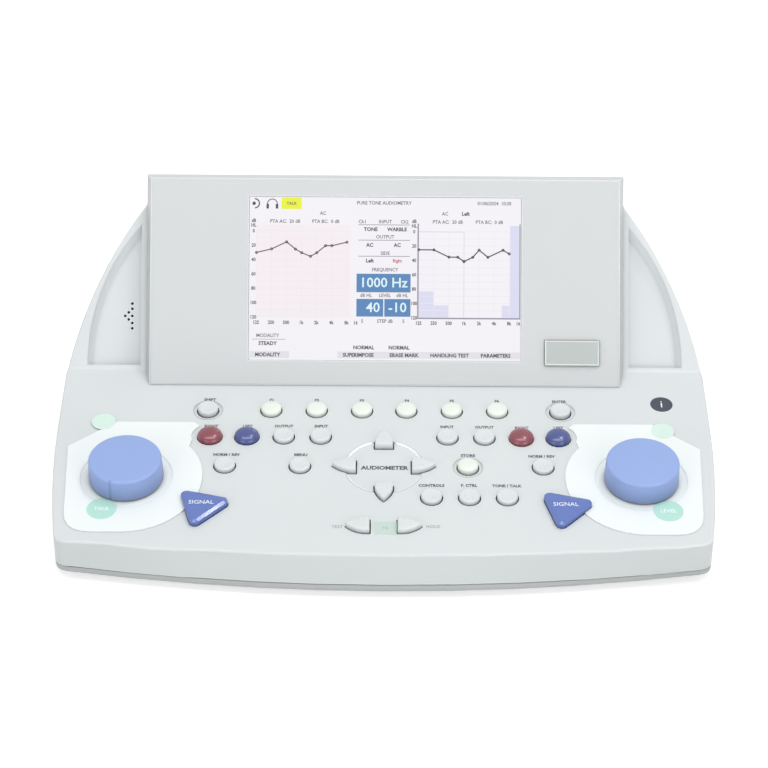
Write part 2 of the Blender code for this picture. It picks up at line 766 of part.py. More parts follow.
def knob_plate_outline():
    """The white plate round the right dial: straight outside, round in front, with a horn to the keys."""
    notch_x = SIDE_KEY_FIRST + 3 * SIDE_KEY_PITCH
    meet = math.radians(180 + 38)
    steps = 2 * ARC_STEPS - 4
    points = plate_corner()
    for i in range(steps + 1):
        angle = math.pi / 2 + (meet - math.pi / 2) * i / steps
        across, down = math.cos(angle), math.sin(angle)
        reach = PLATE_DROP if down > 0 else PLATE_RADIUS
        points.append((DIAL_X + PLATE_RADIUS * across, -DIAL_Y - reach * down))
    first = math.atan2(points[-1][1] + ROW_2, points[-1][0] - notch_x)
    last = math.atan2(ROW_2 - PLATE_TOP_Y, PLATE_HORN_X - notch_x)
    for i in range(1, 6):
        angle = first + (last - first) * i / 5
        points.append((notch_x + PLATE_NOTCH * math.cos(angle), PLATE_NOTCH * math.sin(angle) - ROW_2))
    points += [(PLATE_HORN_X + OVERRUN, -PLATE_TOP_Y), (PLATE_BROW_X, -PLATE_TOP_Y)]
    points += [(PLATE_OUTER_X, -PLATE_SHOULDER_Y)]
    return points[::-1]


def knob_plate_shape(outline, side):
    bottom = FIT - PLATE_SINK
    plate = prism(outline, bottom, PLATE_TOP)
    item = place("knob_plate_" + ("left" if side < 0 else "right"), plate, PANEL)
    cut = bmesh.new()
    x = side * DIAL_X
    drum(PLATE_DISH_RADIUS, PLATE_TOP - PLATE_DISH_DEPTH, PLATE_TOP + OVERRUN, DIAL_SIDES, cut, x, -DIAL_Y)
    combine(item, place(item.name + "_dish", cut, PANEL), "DIFFERENCE")
    hole = drum(SHAFT_HOLE, bottom - OVERRUN, PLATE_TOP + OVERRUN, KEY_SIDES, None, x, -DIAL_Y)
    combine(item, place(item.name + "_bore", hole, PANEL), "DIFFERENCE")
    window = turned_outline(triangle_outline(RUNNING_FIT), side * TRIANGLE_X, -TRIANGLE_Y, 0.0)
    notch = prism(window, bottom - OVERRUN, PLATE_TOP + OVERRUN)
    combine(item, place(item.name + "_notch", notch, PANEL), "DIFFERENCE")
    return item


def board_posts():
    """Where the circuit board is held up under the panel."""
    corners = [(side * POST_X, -y) for side in (-1, 1) for y in (POST_FRONT_Y, POST_BACK_Y)]
    return corners + [(0.0, -POST_BACK_Y)]


def boss_places():
    """Where the four case screws stand: two close inside the side walls and two against the back wall."""
    front_x = side_half(-BOSS_FRONT_Y, WALL) - BOSS_RADIUS + BOSS_BITE
    back_y = BACK - WALL - BOSS_RADIUS + BOSS_BITE
    corners = ((front_x, -BOSS_FRONT_Y), (BOSS_BACK_X, back_y))
    return [(side * x, y) for x, y in corners for side in (-1, 1)]


def shell_fillers():
    posts = bmesh.new()
    for x, y in board_posts():
        drum(POST_RADIUS, BOARD_TOP + FIT, -WALL / 2, SMALL_SIDES, posts, x, y)
    bosses = bmesh.new()
    for x, y in boss_places():
        top = min(panel_z(y) - WALL / 2, BOSS_PAD_Z + BOSS_RISE)
        drum(BOSS_RADIUS, BOSS_PAD_Z + FIT, top, SMALL_SIDES, bosses, x, y)
    return posts, bosses


def top_shell():
    """The moulded upper case: key panel, rim, wings with trays, and the block behind the display."""
    shell = console_solid("top_shell", 0.0, FACE_PROUD, FOOT_HEIGHT)
    round_edges(shell, EDGE_ROUND, 2)
    below = prism(rectangle(WIDTH + REACH, DEPTH + REACH), -REACH, TOP_BOTTOM_Z)
    combine(shell, place("parting_cut", below), "DIFFERENCE")
    hollow = console_solid("shell_hollow", WALL, FACE_PROUD + TRAY_DEPTH + WALL, TOP_BOTTOM_Z - OVERRUN)
    combine(shell, hollow, "DIFFERENCE")
    combine(shell, place("tray_cutter", tray_cutters(), FACE), "DIFFERENCE")
    combine(shell, place("sound_cutter", sound_holes(), FACE), "DIFFERENCE")
    deep = -(FACE_PROUD + TRAY_DEPTH + WALL + OVERRUN)
    slot = prism(rectangle(CABLE_SLOT_WIDTH, CABLE_SLOT_HEIGHT, 0, SCREEN_CENTRE), deep, OVERRUN - FACE_PROUD)
    combine(shell, place("cable_slot", slot, FACE), "DIFFERENCE")
    combine(shell, place("panel_dishes", panel_dishes(), PANEL), "DIFFERENCE")
    seats = bmesh.new()
    for flip in (list, mirrored):
        prism(flip(grown(knob_plate_outline(), FIT)), -PLATE_SINK, OVERRUN, seats)
    combine(shell, place("plate_seats", seats, PANEL), "DIFFERENCE")
    posts, bosses = shell_fillers()
    combine(shell, place("board_posts", posts, PANEL), "UNION")
    combine(shell, place("screw_bosses", bosses), "UNION")
    combine(shell, place("panel_holes", panel_holes(), PANEL), "DIFFERENCE")
    bores = bmesh.new()
    for x, y in boss_places():
        high = BOSS_PAD_Z + SCREW_LENGTH + OVERRUN
        drum(SCREW_RADIUS + FIT, BOSS_PAD_Z - OVERRUN, high, SMALL_SIDES, bores, x, y)
    combine(shell, place("screw_bores", bores), "DIFFERENCE")
    combine(shell, place("rear_opening", rear_opening(), REAR), "DIFFERENCE")
    return dress(shell, finish("housing_plastic", HOUSING, 0.45))


def rear_opening():
    opening = rounded_rectangle(REAR_PLATE_WIDTH, REAR_PLATE_HEIGHT, REAR_CORNER / 4)
    return prism(opening, -(WALL + OVERRUN), OVERRUN)


def bottom_shell():
    """The shallow tray that closes the case, with an inner lip, screw pads and seats for the feet."""
    shell = base_solid("bottom_shell", 0.0, FOOT_HEIGHT, BOTTOM_TOP_Z)
    round_edges(shell, BOTTOM_EDGE, 1)
    lip_in = WALL + RUNNING_FIT
    lip_top = BOTTOM_TOP_Z + LIP_HEIGHT
    combine(shell, base_solid("lip", lip_in, FOOT_HEIGHT + WALL / 2, lip_top), "UNION")
    hollow = base_solid("base_hollow", lip_in + LIP_WALL, FLOOR_Z, lip_top + OVERRUN)
    combine(shell, hollow, "DIFFERENCE")
    pads, notches, bores, seats = bmesh.new(), bmesh.new(), bmesh.new(), bmesh.new()
    for x, y in boss_places():
        drum(BOSS_PAD_RADIUS, FLOOR_Z - WALL / 2, BOSS_PAD_Z, KEY_SIDES, pads, x, y)
        drum(BOSS_RADIUS + FIT, BOSS_PAD_Z, BOTTOM_TOP_Z + LIP_HEIGHT + OVERRUN, KEY_SIDES, notches, x, y)
        head = SCREW_HEAD_RADIUS + FIT
        drum(head, FOOT_HEIGHT - OVERRUN, FOOT_HEIGHT + SCREW_HEAD + FIT, SMALL_SIDES, bores, x, y)
    for x, y in boss_places():
        drum(SCREW_RADIUS + FIT, FOOT_HEIGHT, BOSS_PAD_Z + OVERRUN, SMALL_SIDES, seats, x, y)
    for x, y in foot_places():
        drum(FOOT_RADIUS + FIT, FOOT_HEIGHT - OVERRUN, FOOT_HEIGHT + FOOT_SINK, KEY_SIDES, seats, x, y)
    combine(shell, place("screw_pads", pads), "UNION")
    combine(shell, place("lip_notches", notches), "DIFFERENCE")
    combine(shell, place("screw_head_seats", bores), "DIFFERENCE")
    combine(shell, place("foot_seats", seats), "DIFFERENCE")
    return dress(shell, finish("base_plastic", HOUSING_LOW, 0.5))


def foot_places():
    return [(sx * PAD_X, sy * FOOT_Y) for sx in (-1, 1) for sy in (-1, 1)]


def feet():
    top = FOOT_HEIGHT + FOOT_SINK - FIT
    profile = [(0, 0), (FOOT_RADIUS - FOOT_ROUND, 0), (FOOT_RADIUS, FOOT_ROUND), (FOOT_RADIUS, top), (0, top)]
    for i, (x, y) in enumerate(foot_places()):
        foot = place(f"foot_{i + 1}", turned(profile, KEY_SIDES), None, (x, y, 0))
        dress(foot, finish("foot_rubber", BLACK, 0.8))


def case_screws():
    head_z = FIT + FOOT_HEIGHT
    under = head_z + SCREW_HEAD - FIT
    for i, (x, y) in enumerate(boss_places()):
        profile = [(0, head_z + SCREW_DRIVE), (SCREW_DRIVE, head_z + SCREW_DRIVE), (SCREW_DRIVE, head_z)]
        profile += [(SCREW_HEAD_RADIUS, head_z), (SCREW_HEAD_RADIUS, under), (SCREW_RADIUS, under)]
        profile += [(SCREW_RADIUS, head_z + SCREW_LENGTH), (0, head_z + SCREW_LENGTH)]
        screw = place(f"case_screw_{i + 1}", turned(profile, SMALL_SIDES), None, (x, y, 0))
        dress(screw, finish("screw_steel", STEEL, 0.35, 1.0))


def slab_low(edge, depth):
    """Where the display slab's lower side stands at a depth behind its face: just above the key panel."""
    share = depth / FACE_PROUD
    low_y, low_z = plane_meeting(depth, -FIT - edge - share * CREASE_LIFT)
    return (low_y - FOOT_LINE_Y) * math.sin(RECLINE) + (low_z - FOOT_LINE_Z) * math.cos(RECLINE)


def slab_ring(edge, depth):
    """The display slab's outline at a depth behind its face; its sides open out towards the back."""
    share = depth / FACE_PROUD
    half = FACE_HALF + (BLOCK_HALF - FACE_HALF) * share - edge
    low = slab_low(edge, depth)
    high = FACE_HEIGHT + FACE_FLARE * share - edge
    return [(x, y, -depth) for x, y in [(-half, low), (half, low), (half, high), (-half, high)]]


def display_bezel():
    """The flat display slab: an open-backed frame with drafted sides and the window for the screen."""
    back = FACE_PROUD - FIT
    outer = [slab_ring(FACE_CHAMFER, 0.0), slab_ring(0.0, FACE_CHAMFER_DEPTH), slab_ring(0.0, back)]
    bezel = place("display_bezel", loft(outer), FACE)
    inner = [slab_ring(WALL, WALL), slab_ring(WALL, back + OVERRUN)]
    combine(bezel, place("bezel_hollow", loft(inner), FACE), "DIFFERENCE")
    window = prism(rectangle(SCREEN_WIDTH, SCREEN_HEIGHT, 0, SCREEN_CENTRE), -(WALL + OVERRUN), OVERRUN)
    combine(bezel, place("screen_opening", window, FACE), "DIFFERENCE")
    seat = rectangle(BADGE_WIDTH + 2 * FIT, BADGE_HEIGHT + 2 * FIT, BADGE_X, BADGE_Y)
    combine(bezel, place("badge_seat", prism(seat, -BADGE_SINK, OVERRUN), FACE), "DIFFERENCE")
    return dress(bezel, finish("display_plastic", DISPLAY_GREY, 0.4))


def display_parts():
    width, height = SCREEN_WIDTH - 2 * FIT, SCREEN_HEIGHT - 2 * FIT
    pane = prism(rectangle(width, height), PANE_REST - WALL, -PANE_SINK)
    item = place("screen_window", pane, FACE, (0, SCREEN_CENTRE, 0))
    dress(item, finish("screen_glass", (0.75, 0.76, 0.82), 0.1))
    front = -(WALL + FIT)
    high = SCREEN_CENTRE + SCREEN_HEIGHT / 2 + MODULE_EDGE_MARGIN
    low = slab_low(WALL, MODULE_DEPTH - front) + MODULE_CLEARANCE
    module_width = SCREEN_WIDTH + 2 * MODULE_SIDE_MARGIN
    outline = rounded_rectangle(module_width, high - low, MODULE_CORNER, 3, 0.0, (low + high) / 2)
    item = place("lcd_module", prism(outline, front - MODULE_DEPTH, front), FACE)
    dress(item, finish("module_steel", STEEL, 0.4, 0.8))
    base = rectangle(BADGE_WIDTH, BADGE_HEIGHT)
    top = rectangle(BADGE_WIDTH - 2 * BADGE_BEVEL, BADGE_HEIGHT - 2 * BADGE_BEVEL)
    badge = stack([(base, FIT - BADGE_SINK), (base, BADGE_TOP - BADGE_BEVEL), (top, BADGE_TOP)])
    item = place("badge_plate", badge, FACE, (BADGE_X, BADGE_Y, 0))
    dress(item, finish("badge_plastic", PLATE_WHITE, 0.3))


def knob_plates():
    for side in (-1, 1):
        outline = knob_plate_outline()
        outline = mirrored(outline) if side < 0 else outline
        dress(knob_plate_shape(outline, side), finish("plate_plastic", PLATE_WHITE, 0.35))


def dial_shape():
    """A flat-topped dial with a fine index mark down its side, and its shaft below."""
    low = PLATE_TOP + FIT
    bottom = BOARD_TOP + BOARD_THICKNESS
    profile = [(0, bottom), (SHAFT_RADIUS, bottom), (SHAFT_RADIUS, low), (DIAL_RADIUS, low)]
    profile += [(DIAL_TOP_RADIUS, DIAL_TOP - DIAL_ROUND), (DIAL_TOP_RADIUS - DIAL_ROUND, DIAL_TOP), (0, DIAL_TOP)]
    return turned(profile, DIAL_SIDES)


def dials():
    for side, word in ((-1, "left"), (1, "right")):
        item = place(f"dial_{word}", dial_shape(), PANEL, (side * DIAL_X, -DIAL_Y, 0))
        turn = math.radians(-116)
        reach = DIAL_TOP_RADIUS - DIAL_MARK / 2
        mark = rectangle(DIAL_MARK * 3, DIAL_MARK, reach + DIAL_MARK * 1.5, 0)
        groove = prism(turned_outline(mark, 0, 0, turn), 0, DIAL_TOP + OVERRUN)
        cutter = place(f"dial_mark_{word}", groove, PANEL, (side * DIAL_X, -DIAL_Y, 0))
        combine(item, cutter, "DIFFERENCE")
        dress(item, finish("dial_plastic", DIAL_BLUE, 0.45))


def keys():
    colours = {"grey": KEY_GREY, "white": KEY_WHITE, "red": KEY_RED, "blue": KEY_BLUE}
    for name, x, y, kind, _ in key_places():
        item = place(name, round_key(kind), PANEL, (x, -y, 0))
        dress(item, finish(f"{kind}_key_plastic", colours[kind], 0.3))
    for name, x, y, turn in arrow_places():
        item = place(name, arrow_key(), PANEL, (x, y, 0), turn)
        dress(item, finish("grey_key_plastic", KEY_GREY, 0.3))
    for side, word in ((-1, "left"), (1, "right")):
        item = place(f"signal_key_{word}", triangle_key(), PANEL, (side * TRIANGLE_X, -TRIANGLE_Y, 0))
        dress(item, finish("signal_key_plastic", TRIANGLE_BLUE, 0.3))


def panel_insides():
    """The rubber mat under the keys, and the circuit board with a socket for each dial shaft."""
    middle = -(MAT_FRONT + MAT_BACK) / 2
    sheet = rounded_rectangle(2 * MAT_HALF, MAT_FRONT - MAT_BACK, WALL, 3, 0, middle)
    mat = place("keypad_mat", prism(sheet, MAT_TOP - MAT_THICKNESS, MAT_TOP), PANEL)
    dress(mat, finish("mat_rubber", MAT_GREY, 0.8))
    low = BOARD_TOP - BOARD_THICKNESS
    middle = -(BOARD_FRONT + BOARD_BACK) / 2
    sheet = rectangle(2 * BOARD_HALF, BOARD_FRONT - BOARD_BACK, 0, middle)
    board = place("main_board", prism(sheet, low, BOARD_TOP), PANEL)
    bodies, bores = bmesh.new(), bmesh.new()
    for side in (-1, 1):
        square = rectangle(ENCODER_SIDE, ENCODER_SIDE, side * DIAL_X, -DIAL_Y)
        prism(square, BOARD_TOP - BOARD_THICKNESS / 2, -(WALL + ENCODER_GAP), bodies)
        bore = SHAFT_RADIUS + FIT
        drum(bore, BOARD_TOP + BOARD_THICKNESS - FIT, OVERRUN, KEY_SIDES, bores, side * DIAL_X, -DIAL_Y)
    combine(board, place("encoder_bodies", bodies, PANEL), "UNION")
    combine(board, place("encoder_bores", bores, PANEL), "DIFFERENCE")
    dress(board, finish("board_laminate", BOARD_GREEN, 0.5))


def speaker():
    front = -(FACE_PROUD + TRAY_DEPTH + WALL + FIT)
    back = front - SPEAKER_DEPTH
    profile = [(0, back), (MAGNET_RADIUS, back), (MAGNET_RADIUS, front - SPEAKER_DEPTH / 2)]
    profile += [(SPEAKER_RADIUS, front - SPEAKER_FRAME), (SPEAKER_RADIUS, front), (0, front)]
    item = place("speaker", turned(profile, 2 * SMALL_SIDES), FACE, (-SOUND_X, SOUND_Y, 0))
    dress(item, finish("speaker_frame", BLACK, 0.5))


def jack_places():
    return [(-(JACK_FIRST + i * JACK_PITCH), 0.0) for i in range(JACK_COUNT)]


def rear_fittings():
    """The connector plate with its row of sockets, the power inlet and the rocker switch."""
    outside = -(WALL + FIT)
    inside = outside - REAR_PLATE_THICKNESS
    size = (REAR_PLATE_WIDTH + 2 * REAR_LEDGE, REAR_PLATE_HEIGHT + 2 * REAR_LEDGE)
    plate = place("rear_plate", prism(rectangle(*size), inside, outside), REAR)
    cut = bmesh.new()
    low, high = inside - OVERRUN, outside + OVERRUN
    for x, y in jack_places():
        drum(JACK_NECK + FIT, low, high, KEY_SIDES, cut, x, y)
    prism(rectangle(INLET_WIDTH + 2 * FIT, INLET_HEIGHT + 2 * FIT, INLET_X, 0), low, high, cut)
    switch_hole = (SWITCH_LENGTH + 2 * SWITCH_SLACK, SWITCH_WIDTH + 2 * RUNNING_FIT)
    prism(rectangle(*switch_hole, SWITCH_X, 0), low, high, cut)
    combine(plate, place("rear_plate_holes", cut, REAR), "DIFFERENCE")
    dress(plate, finish("rear_plate_metal", STEEL, 0.5, 0.4))
    for i, (x, y) in enumerate(jack_places()):
        jack = place(f"jack_{i + 1}", jack_shape(inside, outside), REAR, (x, y, 0))
        dress(jack, finish("jack_plastic", BLACK, 0.4))
    inlet(inside, outside)
    rocker()


def jack_shape(inside, outside):
    """A turned socket: flange outside the plate, neck through it, body behind it, open at the front."""
    flange = outside + FIT
    front = flange + JACK_FLANGE_THICKNESS
    body = inside - FIT
    back = body - JACK_DEPTH
    deep = back + JACK_FLANGE_THICKNESS
    profile = [(0, back), (JACK_BODY, back), (JACK_BODY, body), (JACK_NECK, body), (JACK_NECK, flange)]
    profile += [(JACK_FLANGE, flange), (JACK_FLANGE, front), (JACK_BORE, front), (JACK_BORE, deep), (0, deep)]
    return turned(profile, KEY_SIDES)


def inlet(inside, outside):
    """The power inlet: a flanged well with three flat pins standing in it."""
    flange = outside + FIT
    front = flange + INLET_FLANGE
    body = rounded_rectangle(INLET_WIDTH, INLET_HEIGHT, INLET_WALL)
    wide = rounded_rectangle(INLET_WIDTH + 2 * INLET_FLANGE, INLET_HEIGHT + 2 * INLET_FLANGE, INLET_WALL)
    well_size = (INLET_WIDTH - 2 * INLET_WALL, INLET_HEIGHT - 2 * INLET_WALL)
    well = rounded_rectangle(*well_size, INLET_WALL)
    back = front - INLET_BODY
    deep = front - INLET_DEPTH
    layers = [(body, back), (body, flange), (wide, flange), (wide, front), (well, front), (well, deep)]
    item = place("power_inlet", stack(layers), REAR, (INLET_X, 0, 0))
    pins = bmesh.new()
    for x, y in ((-PIN_SPREAD, -PIN_RISE), (0, PIN_RISE), (PIN_SPREAD, -PIN_RISE)):
        blade = rectangle(PIN_THICKNESS, PIN_WIDTH, x, y)
        prism(blade, deep - OVERRUN, deep + PIN_LENGTH, pins)
    combine(item, place("inlet_pins", pins, REAR, (INLET_X, 0, 0)), "UNION")
    dress(item, finish("inlet_plastic", BLACK, 0.4))


def rocker():
    """The power switch: a rocker on a cross axis in the plate, with a hollowed top."""
    half = SWITCH_LENGTH / 2
    steps = 6
    top = [(half * (1 - 2 * i / steps), SWITCH_HOLLOW * (2 * i / steps - 1) ** 2) for i in range(steps + 1)]
    top = [(x, SWITCH_PROUD - SWITCH_HOLLOW + z) for x, z in top]
    angles = [math.pi * i / steps for i in range(steps + 1)]
    belly = [(-half * math.cos(angle), -SWITCH_BELLY * math.sin(angle)) for angle in angles]
    section = turned_outline(top + belly, 0, 0, SWITCH_TILT)
    width = SWITCH_WIDTH / 2
    shape = loft([[(x, width, z) for x, z in section], [(x, -width, z) for x, z in section]])
    item = place("power_switch", shape, REAR, (SWITCH_X, 0, -(WALL + FIT)))
    dress(item, finish("switch_plastic", BLACK, 0.35))


clear_scene()
PANEL = frame_empty("panel_frame", (0, FOOT_LINE_Y, FOOT_LINE_Z), (PANEL_SLOPE, 0, 0))
FACE = frame_empty("face_frame", (0, FOOT_LINE_Y, FOOT_LINE_Z), (math.pi / 2 - RECLINE, 0, 0))
REAR = frame_empty("rear_frame", (0, BACK, PLATE_Z), (math.pi / 2, 0, math.pi))
top_shell()
bottom_shell()
feet()
case_screws()
display_bezel()
display_parts()
knob_plates()
dials()
keys()
panel_insides()
speaker()
rear_fittings()
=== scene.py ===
# %% [markdown]
# A desk audiometer, as a lesson for someone who is learning Blender.
# The shell, keys and dials of this hearing tester already exist as solids at their real size.
# This script dresses them: moulded plastic, glossy keys, printed words and a lit screen.

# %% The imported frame
import math

import bmesh
import bpy
import numpy as np
from mathutils import Matrix, Vector


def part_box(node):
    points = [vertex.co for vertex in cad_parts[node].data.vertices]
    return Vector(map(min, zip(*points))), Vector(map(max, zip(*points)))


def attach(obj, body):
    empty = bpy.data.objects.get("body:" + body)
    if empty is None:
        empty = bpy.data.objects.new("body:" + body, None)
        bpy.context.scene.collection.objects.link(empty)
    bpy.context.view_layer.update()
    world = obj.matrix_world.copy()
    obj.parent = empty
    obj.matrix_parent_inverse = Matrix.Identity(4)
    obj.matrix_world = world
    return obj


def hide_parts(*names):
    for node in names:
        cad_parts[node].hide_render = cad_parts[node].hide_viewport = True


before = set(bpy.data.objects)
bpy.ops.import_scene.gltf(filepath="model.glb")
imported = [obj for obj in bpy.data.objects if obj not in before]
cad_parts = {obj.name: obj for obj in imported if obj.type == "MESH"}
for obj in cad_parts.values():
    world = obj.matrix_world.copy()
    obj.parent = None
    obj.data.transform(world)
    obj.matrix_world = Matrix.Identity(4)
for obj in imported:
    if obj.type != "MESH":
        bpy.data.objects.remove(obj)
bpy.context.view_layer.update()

# %% [markdown]
# Three sloping faces carry nearly everything: the key panel, the reclined display and the upright back.
# Each gets a space of its own, so a word or a key is placed in flat millimetres.

# %% The sloping spaces
mm = 0.001
PANEL_SLOPE = math.radians(5.5)
RECLINE = math.radians(37.0)
FOOT_LINE_Y = 11.3 * mm
FOOT_LINE_Z = 40.0 * mm
BACK_Y = 124.0 * mm
REAR_Z = 34.0 * mm
foot_line = Vector((0, FOOT_LINE_Y, FOOT_LINE_Z))


def sloped(origin, tilt):
    """A space whose X and Y lie in a face and whose Z points out of it."""
    return Matrix.Translation(origin) @ Matrix.Rotation(tilt, 4, "X")


PANEL = sloped(foot_line, PANEL_SLOPE)
FACE = sloped(foot_line, math.pi / 2 - RECLINE)
REAR = sloped(Vector((0, BACK_Y, REAR_Z)), math.pi / 2)
REAR = REAR @ Matrix.Rotation(math.pi, 4, "Y")


def seat(node, space):
    """Lowest and highest corners of a solid, measured in one of the spaces."""
    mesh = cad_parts[node].data
    points = np.empty(len(mesh.vertices) * 3)
    mesh.vertices.foreach_get("co", points)
    turn = np.array(space.inverted())
    local = points.reshape(-1, 3) @ turn[:3, :3].T + turn[:3, 3]
    return Vector(local.min(axis=0)), Vector(local.max(axis=0))


def middle(low, high):
    """Where the middle between two corners lies in the face."""
    return (low.x + high.x) / 2, (low.y + high.y) / 2


for face, tilt in (("key panel", PANEL_SLOPE), ("display", math.pi / 2 - RECLINE)):
    print(face, "tilts", round(math.degrees(tilt), 1), "degrees")

# %% [markdown]
# The camera comes first, because it decides what has to be sharp.
# It stands a long way off with a long lens, so the console's sides stay nearly parallel.

# %% The camera
CAMERA_DISTANCE = 1394.0 * mm
CAMERA_RISE = math.radians(34.59)
AIM_RISE = math.radians(34.5)
ROLL = math.radians(0.34)
SIDEWAYS_SHIFT = -0.0005
LENS = 117.28
SENSOR = 36.0


def linked(name, data):
    """A new object that holds a mesh, curve, camera or lamp, added to the scene."""
    made = bpy.data.objects.new(name, data)
    bpy.context.scene.collection.objects.link(made)
    return made


def add_camera():
    lens = bpy.data.cameras.new("photo_camera")
    lens.lens = LENS
    lens.sensor_width = SENSOR
    lens.shift_x = SIDEWAYS_SHIFT
    camera = linked("photo_camera", lens)
    towards = Vector((0, -math.cos(CAMERA_RISE), math.sin(CAMERA_RISE)))
    camera.location = foot_line + towards * CAMERA_DISTANCE
    camera.rotation_euler = (math.pi / 2 - AIM_RISE, 0, 0)
    camera.rotation_euler.rotate_axis("Z", ROLL)
    bpy.context.scene.camera = camera
    return camera


camera = add_camera()
print("camera at", [round(c, 3) for c in camera.location])

# %% [markdown]
# Every finish is a node tree made by code. One helper adds a node with its settings and links,
# and one turns a colour from the way a screen shows it to the linear way that light adds up.

# %% Colour and node helpers
MIX_A, MIX_B, MIXED = 6, 7, 2  # the colour sockets of a Mix node, which share their names with others


def linear(colour, lift=1.0):
    """An sRGB hex colour as linear red, green, blue and alpha, brightened by a lift."""
    parts = [int(colour[i:i + 2], 16) / 255 for i in (1, 3, 5)]
    parts = [c / 12.92 if c <= 0.04045 else ((c + 0.055) / 1.055) ** 2.4 for c in parts]
    return [c * lift for c in parts] + [1.0]


def add_node(tree, kind, inputs=None, **settings):
    """Adds a node. An input given as another node's output is linked, and any other is set."""
    node = tree.nodes.new(kind)
    for name, value in settings.items():
        setattr(node, name, value)
    for name, value in (inputs or {}).items():
        if isinstance(value, bpy.types.NodeSocket):
            tree.links.new(value, node.inputs[name])
        else:
            node.inputs[name].default_value = value
    return node


def new_material(name, **settings):
    """A material with a Principled shader whose plain sockets are set by name."""
    made = bpy.data.materials.new(name)
    made.use_nodes = True
    shader = made.node_tree.nodes["Principled BSDF"]
    for socket, value in settings.items():
        shader.inputs[socket.replace("_", " ")].default_value = value
    return made, made.node_tree, shader


def clouds(tree, size, detail=2.0):
    """Soft random patches of a real size, fixed to the piece."""
    place = add_node(tree, "ShaderNodeTexCoord").outputs["Object"]
    return add_node(tree, "ShaderNodeTexNoise", {"Vector": place, "Scale": 1 / size, "Detail": detail})


print("the grey #808080 in linear light:", round(linear("#808080")[0], 3))

# %% [markdown]
# Light and shade are painted into the colour of a moulding: painted shade makes it darker deep in a gap or
# close against another surface, where little light gets in, and painted highlights make it lighter along
# edges, where a rounded edge catches the light. Both come from nodes that feel the shape nearby, so nothing
# has to be painted by hand.

# %% Painted shade in gaps and painted highlights on edges
EDGE_HIGHLIGHT_TURN = 0.93
EDGE_HIGHLIGHT_SHARE = 0.65
EDGE_HIGHLIGHT_SAMPLES = 6


def hollowed(tree, tone, dark, reach):
    """Painted shade: the tone out in the open, and a dark colour deep in a gap or hard against another
    surface, where less light falls.
    """
    air = add_node(tree, "ShaderNodeAmbientOcclusion", {"Distance": reach}).outputs["AO"]
    colours = {"Factor": air, MIX_A: dark, MIX_B: tone}
    return add_node(tree, "ShaderNodeMix", colours, data_type="RGBA").outputs[MIXED]


def edged(tree, tone, light, width):
    """Painted highlight: the tone on a face, and a lighter one along its edges, where a rounded edge catches
    the light.
    """
    flat = add_node(tree, "ShaderNodeNewGeometry").outputs["Normal"]
    bevel = add_node(tree, "ShaderNodeBevel", {"Radius": width}, samples=EDGE_HIGHLIGHT_SAMPLES)
    ways = {0: flat, 1: bevel.outputs["Normal"]}
    same = add_node(tree, "ShaderNodeVectorMath", ways, operation="DOT_PRODUCT").outputs["Value"]
    share = {"Value": same, "From Min": 1.0, "From Max": EDGE_HIGHLIGHT_TURN, "To Max": EDGE_HIGHLIGHT_SHARE}
    share = add_node(tree, "ShaderNodeMapRange", share).outputs["Result"]
    colours = {"Factor": share, MIX_A: tone, MIX_B: light}
    return add_node(tree, "ShaderNodeMix", colours, data_type="RGBA").outputs[MIXED]


print("an edge is lightest at a turn of", round(math.degrees(math.acos(EDGE_HIGHLIGHT_TURN))), "degrees")

# %% [markdown]
# Nearly all of it is injection-moulded plastic: ABS for the shells, polycarbonate for the glossy keys.
# A steel mould leaves a fine spark-eroded grain, a little unevenness in gloss, and faint clouds of colour.
# The real grain is about 0.3 mm wide, finer than a pixel here, so it is drawn at 0.7 mm to show at all.

# %% Moulded plastic
# Painted shade reaches this far from a surface; the painted highlight along an edge is this wide.
SHADE_REACH = 2.5 * mm
EDGE_HIGHLIGHT_WIDTH = 1.0 * mm
GLOSS_SPREAD = 0.12
GLOSS_PATCH_SHARE = 1 / 6
GRAIN_STRENGTH = 0.6


def moulded(
    name,
    colour,
    roughness,
    grain=0.7 * mm,
    depth=0.012 * mm,
    cloud=45 * mm,
    tint=0.018,
    hollow=0.3,
    reach=SHADE_REACH,
    edge="",
    **more,
):
    """Plastic from a mould: grain as bump, patchy gloss, a faint drift in colour, painted shade in hollows,
    and a painted highlight along edges when an edge colour is given.
    """
    made, tree, shader = new_material(name, **more)
    drift = clouds(tree, cloud).outputs["Fac"]
    colours = {"Factor": drift, MIX_A: linear(colour, 1 - tint), MIX_B: linear(colour, 1 + tint)}
    mix = add_node(tree, "ShaderNodeMix", colours, data_type="RGBA")
    tone = hollowed(tree, mix.outputs[MIXED], linear(colour, 1 - hollow), reach)
    if edge:
        tone = edged(tree, tone, linear(edge), EDGE_HIGHLIGHT_WIDTH)
    tree.links.new(tone, shader.inputs["Base Color"])
    patch = clouds(tree, cloud * GLOSS_PATCH_SHARE, 4.0).outputs["Fac"]
    dull, shiny = roughness * (1 + GLOSS_SPREAD), roughness * (1 - GLOSS_SPREAD)
    gloss = add_node(tree, "ShaderNodeMapRange", {"Value": patch, "To Min": shiny, "To Max": dull})
    tree.links.new(gloss.outputs["Result"], shader.inputs["Roughness"])
    pits = clouds(tree, grain, 3.0).outputs["Fac"]
    bump = {"Height": pits, "Distance": depth, "Strength": GRAIN_STRENGTH}
    bump = add_node(tree, "ShaderNodeBump", bump)
    tree.links.new(bump.outputs["Normal"], shader.inputs["Normal"])
    return made
